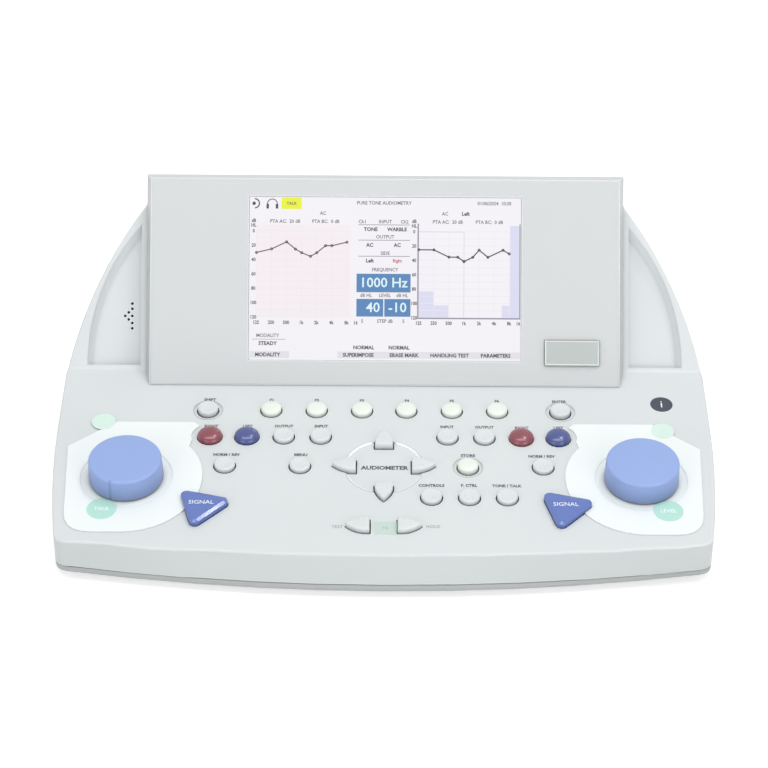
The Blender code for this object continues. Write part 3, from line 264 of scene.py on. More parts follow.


# The housing and display take this pale colour as a painted highlight along their edges; the name plate takes
# a similar one.
EDGE_HIGHLIGHT_COLOUR = "#F4F7F6"
ABS = {"IOR": 1.54}
FINE_GRAIN = {"grain": 0.5 * mm, "depth": 0.006 * mm}
# Painted shade that reaches further: the display slab darkens where it stands close to the panel, and a dial
# is darker down its side than on its top.
SLAB_SHADE = {"hollow": 0.4, "reach": 45 * mm}
DIAL_SHADE = {"hollow": 0.92, "reach": 14 * mm}
housing_abs = moulded("housing_abs", "#D2D7D8", 0.46, edge=EDGE_HIGHLIGHT_COLOUR, **ABS)
base_abs = moulded("base_abs", "#B2B7B6", 0.5, **ABS)
display_abs = moulded("display_abs", "#CACDCE", 0.42, edge=EDGE_HIGHLIGHT_COLOUR, **SLAB_SHADE, **ABS)
plate_abs = moulded("plate_abs", "#EAF0EF", 0.34, **FINE_GRAIN, **ABS)
badge_abs = moulded("badge_abs", "#B4BBB9", 0.3, edge="#EEF1F0", **FINE_GRAIN, **ABS)
dial_abs = moulded("dial_abs", "#8FA6DA", 0.45, cloud=20 * mm, tint=0.03, **DIAL_SHADE, **ABS)
print("moulded plastics:", sum(m.name.endswith("_abs") for m in bpy.data.materials))

# %% [markdown]
# The keys are glossier, because fingers and a polished mould keep them smooth.
# The red and blue lamp keys are of clear tinted plastic, so they are dark at heart
# with a glossy coat on top, which gives them their soft highlight.

# %% Key plastics
# The keys carry strong painted shade, which darkens their sides next to the panel.
KEY_GRAIN_AND_SHADE = {"grain": 0.35 * mm, "depth": 0.003 * mm, "cloud": 6 * mm, "tint": 0.02, "hollow": 0.85}
CLEAR_COAT = {"Coat_Weight": 1.0, "Coat_Roughness": 0.2}


def key_plastic(name, colour, roughness, **more):
    return moulded(name, colour, roughness, **KEY_GRAIN_AND_SHADE, **ABS, **more)


grey_key = key_plastic("grey_key_abs", "#D3D9D9", 0.28)
white_key = key_plastic("white_key_silicone", "#E2E7DF", 0.36)
signal_key = key_plastic("signal_key_abs", "#5D73B6", 0.16)
red_key = key_plastic("red_key_polycarbonate", "#7C2238", 0.35, **CLEAR_COAT)
blue_key = key_plastic("blue_key_polycarbonate", "#273A80", 0.35, **CLEAR_COAT)
print("key plastics:", [m.name for m in (grey_key, white_key, signal_key, red_key, blue_key)])

# %% [markdown]
# The hidden parts get their own finishes too: black nylon sockets, zinc-plated steel,
# rolled aluminium on the back, a green laminate board and soft rubber.

# %% Metals, rubber and laminate
METAL_MARK = 0.8 * mm
METAL_DEPTH = 0.004 * mm
METAL_STRENGTH = 0.5
METAL_SHINY_SHARE = 0.75
METAL_DULL_SHARE = 1.3


def metal(name, colour, roughness, grain=(1.0, 1.0, 1.0)):
    """Metal whose fine marks are stretched the way the sheet was rolled or the pin was drawn."""
    made, tree, shader = new_material(name, Metallic=1.0, Base_Color=linear(colour))
    place = add_node(tree, "ShaderNodeTexCoord").outputs["Object"]
    spread = add_node(tree, "ShaderNodeVectorMath", {0: place, 1: grain}, operation="MULTIPLY")
    marks = {"Vector": spread.outputs["Vector"], "Scale": 1 / METAL_MARK, "Detail": 4.0}
    marks = add_node(tree, "ShaderNodeTexNoise", marks).outputs["Fac"]
    shiny, dull = roughness * METAL_SHINY_SHARE, roughness * METAL_DULL_SHARE
    gloss = add_node(tree, "ShaderNodeMapRange", {"Value": marks, "To Min": shiny, "To Max": dull})
    tree.links.new(gloss.outputs["Result"], shader.inputs["Roughness"])
    bump = {"Height": marks, "Distance": METAL_DEPTH, "Strength": METAL_STRENGTH}
    bump = add_node(tree, "ShaderNodeBump", bump)
    tree.links.new(bump.outputs["Normal"], shader.inputs["Normal"])
    return made


rolled_aluminium = metal("rolled_aluminium", "#B9BDC1", 0.42, grain=(0.08, 1.0, 1.0))
zinc_steel = metal("zinc_steel", "#A9ABAE", 0.32)
nickel_brass = metal("nickel_brass", "#C9C6BD", 0.25)
black_nylon = moulded("black_nylon", "#26282B", 0.42, tint=0.08, **ABS)
foot_rubber = moulded("foot_rubber", "#2B2C2E", 0.8, grain=0.5 * mm, depth=0.03 * mm, tint=0.1)
mat_rubber = moulded("mat_rubber", "#8E9092", 0.7, grain=0.6 * mm, tint=0.05)
board_laminate = moulded("board_laminate", "#1F6B3A", 0.4, grain=0.4 * mm, cloud=18 * mm, tint=0.12)
print("metals:", rolled_aluminium.name, zinc_steel.name, nickel_brass.name)

# %% [markdown]
# A finished piece sits at the origin with its place in its mesh, and rides on a body of the solid model.
# Smooth shading stops at edges sharper than an angle, as light does on a real moulding.

# %% Piece helpers
WELD = 0.01 * mm
SOFT_EDGE = math.radians(40)
FINE_ANGLE = math.radians(18)


def as_mesh(name, shape):
    """A finished bmesh written out as a mesh."""
    mesh = bpy.data.meshes.new(name)
    shape.to_mesh(mesh)
    shape.free()
    return mesh


def piece(name, shape, material, body="console", replaces=(), edge=SOFT_EDGE):
    """A shape made into a piece that rides on a body. The shape is a bmesh or a mesh."""
    mesh = as_mesh(name, shape) if isinstance(shape, bmesh.types.BMesh) else shape
    mesh.name = name
    mesh.materials.clear()
    mesh.materials.append(material)
    if edge:
        mesh.shade_smooth()
        mesh.set_sharp_from_angle(angle=edge)
    made = linked(name, mesh)
    if replaces:
        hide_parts(*replaces)
    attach(made, body)
    return made


def placed(shape, space, x=0.0, y=0.0, turn=0.0):
    """Moves a flat-drawn shape into one of the sloping spaces."""
    spot = Matrix.Translation((x, y, 0)) @ Matrix.Rotation(turn, 4, "Z")
    shape.transform(space @ spot)
    return shape


def add_slab(shape, corners, low, high):
    """A thin slab over four corners, given anticlockwise, between two heights."""
    base = [shape.verts.new((x, y, low)) for x, y in corners]
    top = [shape.verts.new((x, y, high)) for x, y in corners]
    for i in range(4):
        j = (i + 1) % 4
        shape.faces.new((base[i], base[j], top[j], top[i]))
    shape.faces.new(base[::-1])
    shape.faces.new(top)


def add_box(shape, x0, y0, x1, y1, low, high):
    add_slab(shape, ((x0, y0), (x1, y0), (x1, y1), (x0, y1)), low, high)


def baked(made):
    """The mesh of an object with its modifiers applied, and the object removed."""
    graph = bpy.context.evaluated_depsgraph_get()
    mesh = bpy.data.meshes.new_from_object(made.evaluated_get(graph))
    bpy.data.objects.remove(made)
    return mesh


def dress(material, *names):
    """Gives solids that keep their own shape a finish."""
    for name in names:
        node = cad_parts[name]
        node.data.materials.clear()
        node.data.materials.append(material)


print("edges sharper than", round(math.degrees(SOFT_EDGE)), "degrees stay sharp")

# %% [markdown]
# The two shells, the display slab and the plates keep the shape of their solids.
# A merged copy with weighted normals shades small bevels as round edges and leaves big faces flat.

# %% Shells with soft edges
SIDES = ("left", "right")
SHELL_EDGE = math.radians(48)
FLAT = math.radians(0.3)
NORMAL_WEIGHT = 50
GAP_COVER = 0.25 * mm
UPRIGHT = 0.1


def swollen(shape, space, distance):
    """Moves every side outwards along the face that a plate lies in, which narrows the gap round it."""
    shape.normal_update()
    out = space.to_3x3().col[2]
    moves = [v.normal - out * v.normal.dot(out) for v in shape.verts]
    for vert, move in zip(shape.verts, moves):
        if move.length > UPRIGHT:
            vert.co += move.normalized() * distance


def softened(node, material, space=None, swell=0.0):
    """A merged copy of a solid, with the same shape and softer shading, in the solid's place."""
    shape = bmesh.new()
    shape.from_mesh(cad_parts[node].data)
    bmesh.ops.remove_doubles(shape, verts=shape.verts, dist=WELD)
    bmesh.ops.dissolve_degenerate(shape, edges=shape.edges, dist=WELD)
    bmesh.ops.dissolve_limit(shape, angle_limit=FLAT, verts=shape.verts, edges=shape.edges)
    if swell:
        swollen(shape, space, swell)
    mesh = as_mesh(node, shape)
    mesh.shade_smooth()
    mesh.set_sharp_from_angle(angle=SHELL_EDGE)
    copy = linked(node + "_copy", mesh)
    weighted = copy.modifiers.new("weighted", "WEIGHTED_NORMAL")
    weighted.keep_sharp = True
    weighted.weight = NORMAL_WEIGHT
    return piece(node + "_skin", baked(copy), material, replaces=(node,), edge=0.0)


softened("top_shell", housing_abs)
softened("bottom_shell", base_abs)
softened("display_bezel", display_abs)
softened("badge_plate", badge_abs)
for side in SIDES:
    softened("knob_plate_" + side, plate_abs, space=PANEL, swell=GAP_COVER)

# %% [markdown]
# The name plate has a glossy rim, drawn as a low frame round a field that stays bare.
# Its pale colour is a painted highlight on the rim's bevel.

# %% The name plate's rim
RIM_WIDTH = 0.9 * mm
RIM_HEIGHT = 0.08 * mm
# A pale colour that paints the highlight on the name plate's rim.
rim_highlight_abs = moulded("rim_highlight_abs", "#D2D8D5", 0.25, grain=0.5 * mm, depth=0.003 * mm, **ABS)


def badge_rim():
    low, high = seat("badge_plate", FACE)
    shape = bmesh.new()
    x0, y0, x1, y1 = low.x, low.y, high.x, high.y
    for box in (
        (x0, y0, x1, y0 + RIM_WIDTH),
        (x0, y1 - RIM_WIDTH, x1, y1),
        (x0, y0 + RIM_WIDTH, x0 + RIM_WIDTH, y1 - RIM_WIDTH),
        (x1 - RIM_WIDTH, y0 + RIM_WIDTH, x1, y1 - RIM_WIDTH),
    ):
        add_box(shape, *box, high.z, high.z + RIM_HEIGHT)
    return piece("badge_rim", placed(shape, FACE), rim_highlight_abs)


badge_rim()
print("plate rim:", round(RIM_WIDTH / mm, 2), "mm wide")

# %% [markdown]
# A round key is a turned shape: draw half of its outline and spin it.
# The cap stands straight for a little, then domes over on a squashed circle, as moulded keys do.

# %% Turned shapes
def lathe(profile, sides=72, shape=None, x=0.0, y=0.0):
    """Spins (radius, height) points round an upright axis. The first and last points lie on it."""
    shape = shape or bmesh.new()
    steps = [math.tau * i / sides for i in range(sides)]
    rings = []
    for radius, height in profile[1:-1]:
        ring = [(x + radius * math.cos(a), y + radius * math.sin(a), height) for a in steps]
        rings.append([shape.verts.new(point) for point in ring])
    ends = [shape.verts.new((x, y, profile[i][1])) for i in (0, -1)]
    for i in range(sides):
        j = (i + 1) % sides
        shape.faces.new((ends[0], rings[0][j], rings[0][i]))
        shape.faces.new((ends[1], rings[-1][i], rings[-1][j]))
        for low, high in zip(rings, rings[1:]):
            shape.faces.new((low[i], low[j], high[j], high[i]))
    return shape


def rounded(radius, height, edge, steps=6):
    """The last stretch of a profile: up a straight side, over a round edge and in to the axis."""
    arc = [math.pi / 2 * i / steps for i in range(steps + 1)]
    turn = [(radius - edge * (1 - math.cos(a)), height - edge * (1 - math.sin(a))) for a in arc]
    return turn + [(0, height)]


print("points of a rounded stretch:", len(rounded(1.0, 1.0, 0.1)))

# %% [markdown]
# Lamp and soft keys are domed, and the grey ones have a shallow dish for the fingertip.
# Each profile starts with the flange that keeps a key under the panel.

# %% Profiles of round keys
FLANGE = 1.2 * mm
DOME_STEPS = 14
RIM_EDGE = 0.9 * mm
DISH_STEPS = 6
KEY_DISH = 0.5 * mm


def flange(radius, low):
    """The part of a key that stays under the panel."""
    wide, high = radius + FLANGE, low + FLANGE
    return [(0, low), (wide, low), (wide, high), (radius, high)]


def domed_profile(radius, low, high, side_share, power):
    """From the flange under the panel, up the cap's side and over its dome."""
    side = high * side_share
    profile = flange(radius, low)
    for i in range(DOME_STEPS + 1):
        angle = math.pi / 2 * i / DOME_STEPS
        across, up = math.cos(angle) ** power, math.sin(angle) ** power
        profile.append((radius * across, side + (high - side) * up))
    profile[-1] = (0, high)
    return profile


def dished_profile(radius, low, high):
    """From the flange up a straight side, over a round rim and down into a shallow dish."""
    profile = flange(radius, low) + rounded(radius, high, RIM_EDGE)[:-1]
    inner = radius - RIM_EDGE
    for i in range(1, DISH_STEPS + 1):
        share = 1 - i / DISH_STEPS
        profile.append((inner * share, high - KEY_DISH * (1 - share**2)))
    return profile


print("a dish is", round(KEY_DISH / mm, 1), "mm deep")

# %% [markdown]
# Each key's place and size are read from its solid, so the cap lands in the middle of its hole.
# The caps stand a little inside their solids, which shows the dark gap round each key.

# %% Round keys
KEY_SLACK = 0.35 * mm
DISH_DROP = 0.8 * mm
KEY_PLASTICS = {"grey": grey_key, "white": white_key, "red": red_key, "blue": blue_key}
SOFT_DOME = (0.50, 0.80)
LAMP_DOME = (0.14, 0.95)
WHITE_KEYS = ["store_key"] + [f"soft_key_{side}_{i}" for side in SIDES for i in (1, 2, 3)]
GREY_KEYS = [f"{kind}_key_{side}" for kind in ("select", "mode") for side in SIDES]
GREY_KEYS += [f"input_key_{side}_{i}" for side in SIDES for i in (1, 2)]
GREY_KEYS += ["menu_key"] + [f"test_key_{i}" for i in (1, 2, 3)]
ROUND_KEYS = [("white", node) for node in WHITE_KEYS] + [("grey", node) for node in GREY_KEYS]
ROUND_KEYS += [(tone, f"lamp_key_{tone}_{side}") for tone in ("red", "blue") for side in SIDES]


def round_key(look, node):
    low, high = seat(node, PANEL)
    radius = (high.x - low.x) / 2 - FLANGE
    if look == "grey":
        profile = dished_profile(radius - KEY_SLACK, low.z, high.z - DISH_DROP)
    elif look == "white":
        profile = domed_profile(radius - KEY_SLACK, low.z, high.z, *SOFT_DOME)
    else:
        profile = domed_profile(radius, low.z, high.z, *LAMP_DOME)
    shape = placed(lathe(profile), PANEL, *middle(low, high))
    return piece(node + "_cap", shape, KEY_PLASTICS[look], node + "_body", (node,))


for look, node in ROUND_KEYS:
    round_key(look, node)
print("round keys:", len(ROUND_KEYS))

# %% [markdown]
# The arrow keys and the triangles are outlines raised in layers.
# On an arrow key each layer near the top is drawn in a little further along a quarter circle,
# which rolls the edge over. A triangle key has one wide, shallow slope instead.

# %% Raised outlines
FINE_EDGE = 0.25 * mm


def layered(layers):
    """A closed solid through (outline, height) layers of equally many points."""
    shape = bmesh.new()
    rings = [[shape.verts.new((x, y, height)) for x, y in outline] for outline, height in layers]
    for low, high in zip(rings, rings[1:]):
        for i in range(len(low)):
            j = (i + 1) % len(low)
            shape.faces.new((low[i], low[j], high[j], high[i]))
    shape.faces.new(rings[0][::-1])
    shape.faces.new(rings[-1])
    return shape


def sloped_key(outline, low, high, width, drop):
    """A cap whose top edge is one wide, shallow slope."""
    side = high - drop
    layers = [(outline(FLANGE), low), (outline(FLANGE), low + FLANGE), (outline(0.0), low + FLANGE)]
    layers += [(outline(0.0), side - FINE_EDGE), (outline(-FINE_EDGE / 2), side), (outline(-width), high)]
    return layered(layers)


def raised_key(outline, low, high, edge, steps=5):
    """A cap from an outline that can be grown or drawn in, with its flange under the panel."""
    top = low + FLANGE
    layers = [(outline(FLANGE), low), (outline(FLANGE), top), (outline(-KEY_SLACK), top)]
    for i in range(steps + 1):
        angle = math.pi / 2 * i / steps
        grow = edge * (math.cos(angle) - 1) - KEY_SLACK
        layers.append((outline(grow), high - edge * (1 - math.sin(angle))))
    return layered(layers)


print("a fine edge is", round(FINE_EDGE / mm, 2), "mm high")

# %% [markdown]
# An outline is a function of how far it is grown, so one function gives the flange, the side
# and the drawn-in top of a key. A triangle's corners are arcs, and an arrow's sides are parabolas.

# %% Arrow and triangle outlines
ARROW_STRAIGHT_SHARE = 0.2
ARROW_STEPS = 14
CORNER_STEPS = 8


def arrow_outline(length, width):
    """A key with a flat inner side that curves to a point, as a function of how far it is grown."""
    def outline(grow):
        half, reach = width / 2 + grow, length + grow
        start = length * ARROW_STRAIGHT_SHARE
        shares = [i / ARROW_STEPS for i in range(ARROW_STEPS)]
        side = [(start + (reach - start) * share, half * (1 - share**2)) for share in shares]
        lower = [(x, -y) for x, y in side]
        return [(-grow, -half)] + lower + [(reach, 0.0)] + side[::-1] + [(-grow, half)]
    return outline


def triangle_outline(reach, corner, turn):
    """A triangle with round corners, as a function of how far it is grown."""
    def outline(grow):
        points = []
        for way in (turn + math.tau * i / 3 for i in range(3)):
            cx, cy = (reach - corner) * math.cos(way), (reach - corner) * math.sin(way)
            for i in range(CORNER_STEPS + 1):
                angle = way + math.tau / 3 * (i / CORNER_STEPS - 0.5)
                out = corner + grow
                points.append((cx + out * math.cos(angle), cy + out * math.sin(angle)))
        return points
    return outline


for name, outline in (("an arrow", arrow_outline(2.0, 1.0)), ("a triangle", triangle_outline(2.0, 0.5, 0.0))):
    print("points round", name + ":", len(outline(0.0)))

# %% [markdown]
# One arrow outline serves six keys, turned by quarters of a circle: four round the pad and two in front.

# %% Arrow and triangle keys
ARROW_LENGTH = 13.4 * mm
ARROW_WIDTH = 10.4 * mm
ARROW_EDGE = 0.9 * mm
TRIANGLE_REACH = 14.3 * mm
TRIANGLE_CORNER = 3.0 * mm
TRIANGLE_EDGE = 1.9 * mm
TRIANGLE_DROP = 0.75 * mm
TRIANGLE_TURN = math.radians(136.0)
ARROWS = {"arrow_key_right": 0, "arrow_key_up": 1, "arrow_key_left": 2, "arrow_key_down": 3}
ARROWS.update({"level_key_right": 0, "level_key_left": 2})


def arrow_key(node, quarter):
    low, high = seat(node, PANEL)
    shape = raised_key(arrow_outline(ARROW_LENGTH, ARROW_WIDTH), low.z, high.z, ARROW_EDGE)
    turn = quarter * math.pi / 2
    centre, back = (low + high) / 2, ARROW_LENGTH / 2
    placed(shape, PANEL, centre.x - back * math.cos(turn), centre.y - back * math.sin(turn), turn)
    return piece(node + "_cap", shape, grey_key, node + "_body", (node,))


TRIANGLE = triangle_outline(TRIANGLE_REACH, TRIANGLE_CORNER, TRIANGLE_TURN)


def triangle_place(node):
    """The middle of a triangle key, found from the right and far sides of its box."""
    high = seat(node, PANEL)[1]
    return high.x - max(x for x, _ in TRIANGLE(FLANGE)), high.y - max(y for _, y in TRIANGLE(FLANGE))


def triangle_key(node):
    low, high = seat(node, PANEL)
    shape = sloped_key(TRIANGLE, low.z, high.z, TRIANGLE_EDGE, TRIANGLE_DROP)
    placed(shape, PANEL, *triangle_place(node))
    return piece(node + "_cap", shape, signal_key, node + "_body", (node,), FINE_ANGLE)


for node, quarter in ARROWS.items():
    arrow_key(node, quarter)
for side in SIDES:
    triangle_key("signal_key_" + side)
print("arrow keys:", len(ARROWS), "triangle keys:", len(SIDES))

# %% [markdown]
# The dials are turned too. A real one is a moulded cap pressed on a shaft:
# a slightly tapering side, a soft edge and a flat top.
# The left one shows a fine groove in its side, made by drawing one line of points inwards.

# %% Dials
DIAL_EDGE = 1.3 * mm
DIAL_DRAFT = 0.5 * mm
DIAL_SKIRT = 0.5 * mm
DIAL_FOOT = 0.9 * mm
DIAL_SIDES = 160
DIAL_EDGE_STEPS = 8
SHAFT_RADIUS = 3.0 * mm
MARK_TURN = math.radians(-110)
MARK_DEPTH = 0.45 * mm


def grooved(shape, radius):
    """Draws one upright line of a turned side inwards, which leaves a narrow groove."""
    for vert in shape.verts:
        turn = math.atan2(vert.co.y, vert.co.x)
        if abs(turn - MARK_TURN) <= math.pi / DIAL_SIDES and vert.co.xy.length > radius - DIAL_EDGE:
            vert.co.xy *= 1 - MARK_DEPTH / vert.co.xy.length


def dial(node, marked):
    low, high = seat(node, PANEL)
    radius = (high.x - low.x) / 2
    profile = [(0, low.z), (SHAFT_RADIUS, low.z), (SHAFT_RADIUS, DIAL_FOOT)]
    profile += [(radius - DIAL_SKIRT, DIAL_FOOT), (radius, DIAL_FOOT + DIAL_SKIRT)]
    profile += rounded(radius - DIAL_DRAFT, high.z, DIAL_EDGE, DIAL_EDGE_STEPS)
    shape = lathe(profile, DIAL_SIDES)
    if marked:
        grooved(shape, radius)
    placed(shape, PANEL, *middle(low, high))
    return piece(node + "_cap", shape, dial_abs, node + "_body", (node,))


for side in SIDES:
    cap = dial("dial_" + side, side == "left")
    print(cap.name, "has", len(cap.data.polygons), "faces")

# %% [markdown]
# Words on the panel are pad printed: a film of ink a few hundredths of a millimetre thick.
# A text object is made a mesh at once, and all the words of one ink become one piece.

# %% Printing
INK = 0.03 * mm
CAP_HEIGHT_SHARE = 0.73
PRINT_ROUNDNESS = 2
INK_ROUGHNESS = 0.55
INK_FINISH = {"grain": 0.25 * mm, "depth": 0.002 * mm, "cloud": 4 * mm, "tint": 0.04}


def printed(name, colour):
    return moulded(name, colour, INK_ROUGHNESS, **INK_FINISH)


def add_words(shape, words, height, place, space, squeeze=1.0, base=0.0, bold=0.0):
    """Adds a line of letters, centred on a place, to a shape. Bold is a share of their height."""
    curve = bpy.data.curves.new("words", "FONT")
    curve.body = words
    curve.size = height / CAP_HEIGHT_SHARE
    curve.offset = bold * height
    curve.align_x = "CENTER"
    curve.align_y = "CENTER"
    curve.resolution_u = PRINT_ROUNDNESS
    curve.extrude = INK / 2
    mesh = baked(linked("words", curve))
    mesh.transform(Matrix.Diagonal((squeeze, 1, 1, 1)))
    mesh.transform(space @ Matrix.Translation((place[0], place[1], base + INK / 2)))
    shape.from_mesh(mesh)
    bpy.data.meshes.remove(mesh)
    bpy.data.curves.remove(curve)


def printed_words(name, material, rows, space, height, squeeze=1.0, base=0.0, bold=0.0):
    """One piece from rows of (words, x, y), with the places in millimetres."""
    shape = bmesh.new()
    for words, x, y in rows:
        add_words(shape, words, height, (x * mm, y * mm), space, squeeze, base, bold)
    return piece(name, shape, material)


print("a film of ink is", round(INK / mm, 2), "mm thick")

# %% [markdown]
# Each row below holds the words and where their middle lies on the panel, in millimetres.
# Grey ink names what a key does, red stands for the right ear and blue for the left.

# %% Labels on the key panel
PANEL_LIFT = 0.05 * mm
grey_ink = printed("grey_ink", "#50565B")
red_ink = printed("red_ink", "#7E5860")
blue_ink = printed("blue_ink", "#59628A")
LABEL_HEIGHT = 2.1 * mm
LABEL_SQUEEZE = 0.9
LABEL_BOLD = 0.05
GREY_LABELS = [("SHIFT", -96.4, -11.1), ("ENTER", 96.7, -11.2)]
GREY_LABELS += [(f"F{i + 1}", -62.2 + 24.9 * i, -11.1) for i in range(6)]
GREY_LABELS += [("OUTPUT", side * 54.8, -33.1) for side in (-1, 1)]
GREY_LABELS += [("INPUT", side * 34.4, -33.0) for side in (-1, 1)]
GREY_LABELS += [("NORM / REV", side * 85.0, -56.8) for side in (-1, 1)]
GREY_LABELS += [("MENU", -44.9, -56.6), ("STORE", 45.3, -56.5), ("CONTROLS", 25.4, -80.6)]
GREY_LABELS += [("F. CTRL", 45.4, -80.4), ("TONE / TALK", 65.5, -80.6)]
RED_LABELS = [("RIGHT", -94.5, -33.4), ("RIGHT", 75.2, -33.4)]
BLUE_LABELS = [("LEFT", -74.6, -33.3), ("LEFT", 95.3, -33.3)]
LABEL_FORM = (LABEL_HEIGHT, LABEL_SQUEEZE, PANEL_LIFT, LABEL_BOLD)
for name, ink, rows in (
    ("grey_labels", grey_ink, GREY_LABELS),
    ("red_labels", red_ink, RED_LABELS),
    ("blue_labels", blue_ink, BLUE_LABELS),
):
    printed_words(name, ink, rows, PANEL, *LABEL_FORM)
    print(name + ":", len(rows))

# %% [markdown]
# Flat printed shapes, such as dots and boxes, are thin solids too, so that nothing is a bare sheet.
# A disc is turned like a key. A ring, or a part of one, is a small square carried round a circle.

# %% Discs and rings
def add_disc(shape, x, y, radius, low, high, sides=48):
    lathe([(0, low), (radius, low), (radius, high), (0, high)], sides, shape, x, y)


def add_ring(shape, x, y, inner, outer, low, high, start=0.0, sweep=math.tau, sides=72, drop=0.0):
    """A thin ring, or a part of one. A drop lowers its inner edge, which makes it a cone."""
    closed = sweep >= math.tau
    count = sides if closed else sides + 1
    columns = []
    for i in range(count):
        a = start + sweep * i / sides
        c, s = math.cos(a), math.sin(a)
        corners = ((inner, low - drop), (outer, low), (outer, high), (inner, high - drop))
        columns.append([shape.verts.new((x + r * c, y + r * s, z)) for r, z in corners])
    for i in range(sides):
        here, after = columns[i], columns[(i + 1) % count]
        for k in range(4):
            m = (k + 1) % 4
            shape.faces.new((here[k], after[k], after[m], here[m]))
    if not closed:
        shape.faces.new(columns[0])
        shape.faces.new(columns[-1][::-1])


trial = bmesh.new()
add_ring(trial, 0, 0, 1.0, 2.0, 0, 1.0)
print("faces of a whole ring:", len(trial.faces))
trial.free()

# %% [markdown]
# The mint dots lie over the edge of the white plates, so they stand as high as the plates.
# The arrow pad's word lies on the floor of its hollow, and each triangle key carries its own word.

# %% Dots and words on the plates
mint_ink = printed("mint_ink", "#B2DDD0")
faint_mint_ink = printed("faint_mint_ink", "#D2E8DE")
dark_ink = printed("dark_ink", "#3C4450")
white_ink = printed("white_ink", "#F2F5F7")
FAINT_DOTS = [(-153.6, -30.6, 6.6), (152.1, -35.9, 6.3)]
MINT_DOTS = [(-148.5, -100.8, 7.9), (150.0, -100.0, 7.9)]
PLATE_TOP = 0.6 * mm
INFO_PLACE = (153.3 * mm, -12.9 * mm)
INFO_RADIUS = 6.2 * mm
INFO_HEIGHT = 6.0 * mm
PAD_WORD = [("AUDIOMETER", 0.3, -66.1)]
PAD_FLOOR = -0.6 * mm
PAD_WORD_FORM = (2.9 * mm, 1.02, PAD_FLOOR, 0.06)
SIGNAL_HEIGHT = 2.9 * mm
SIGNAL_RISE = 1.0 * mm


def dots(name, places, material):
    """One piece from dots, each (x, y, radius) in millimetres."""
    shape = bmesh.new()
    for x, y, radius in places:
        add_disc(shape, x * mm, y * mm, radius * mm, PLATE_TOP, PLATE_TOP + INK)
    return piece(name, placed(shape, PANEL), material)


def info_disc():
    """The dark disc at the right, with the letter i printed on it."""
    shape = bmesh.new()
    add_disc(shape, *INFO_PLACE, INFO_RADIUS, 0, PANEL_LIFT + INK)
    piece("info_disc", placed(shape, PANEL), dark_ink)
    mark = bmesh.new()
    add_words(mark, "i", INFO_HEIGHT, INFO_PLACE, PANEL, base=PANEL_LIFT + INK)
    return piece("info_mark", mark, white_ink)


def signal_word(node):
    """The word on a triangle key, which rides on the key."""
    x, y = triangle_place(node)
    shape = bmesh.new()
    top = seat(node, PANEL)[1].z
    add_words(shape, "SIGNAL", SIGNAL_HEIGHT, (x, y + SIGNAL_RISE), PANEL, base=top)
    return piece(node + "_word", shape, white_ink, node + "_body")


dots("faint_mint_dots", FAINT_DOTS, faint_mint_ink)
dots("mint_dots", MINT_DOTS, mint_ink)
info_disc()
printed_words("pad_word", grey_ink, PAD_WORD, PANEL, *PAD_WORD_FORM)
for side in SIDES:
    signal_word("signal_key_" + side)
print("dots:", len(FAINT_DOTS) + len(MINT_DOTS))

# %% [markdown]
# The arrow pad is a shallow round hollow. Its rim is drawn as a fine grey line of painted shadow, with a pale
# band of painted highlight on the slope inside it, both broken where an arrow key stands. Three round keys
# have a painted shadow line round them too.

# %% Painted shadow lines and the pad's painted highlight
DISH_RADIUS = 7.9 * mm
PAD_RADIUS = 21.2 * mm
PAD_CENTRE = -65.7 * mm
PAD_HIGHLIGHT_WIDTH = 1.3 * mm
ARC_SWEEP = math.radians(54)
ARC_STARTS = [math.radians(18 + 90 * i) for i in range(4)]
ARC_SIDES = 24
LINE = 0.3 * mm
# A grey that paints the shadow along the edge of a dish.
shade_line_ink = printed("shade_line_ink", "#A4AAA9")


def ring_lines():
    """Painted shadow: fine grey lines where a dish or the arrow pad begins. The pad's stops short of each
    arrow key.
    """
    shape = bmesh.new()
    for node in ("select_key_left", "select_key_right", "store_key"):
        x, y = middle(*seat(node, PANEL))
        add_ring(shape, x, y, DISH_RADIUS, DISH_RADIUS + LINE, 0, PANEL_LIFT)
    outer = PAD_RADIUS + LINE
    for start in ARC_STARTS:
        arc = (start, ARC_SWEEP, ARC_SIDES)
        add_ring(shape, 0, PAD_CENTRE, PAD_RADIUS, outer, 0, PANEL_LIFT, *arc)
    return piece("ring_lines", placed(shape, PANEL), shade_line_ink)


def pad_band():
    """A painted highlight: a pale band on the slope just inside the arrow pad's rim, where it catches the
    light.
    """
    shape = bmesh.new()
    inner = PAD_RADIUS - PAD_HIGHLIGHT_WIDTH
    for start in ARC_STARTS:
        arc = (start, ARC_SWEEP, ARC_SIDES, -PAD_FLOOR)
        add_ring(shape, 0, PAD_CENTRE, inner, PAD_RADIUS, 0, PANEL_LIFT, *arc)
    return piece("pad_band", placed(shape, PANEL), plate_abs)


ring_lines()
pad_band()
print("arcs round the pad:", len(ARC_STARTS))

# %% [markdown]
# Last come the faint prints: the words on the two lower mint dots, and the pale box in front
# with its word and the two beside it.

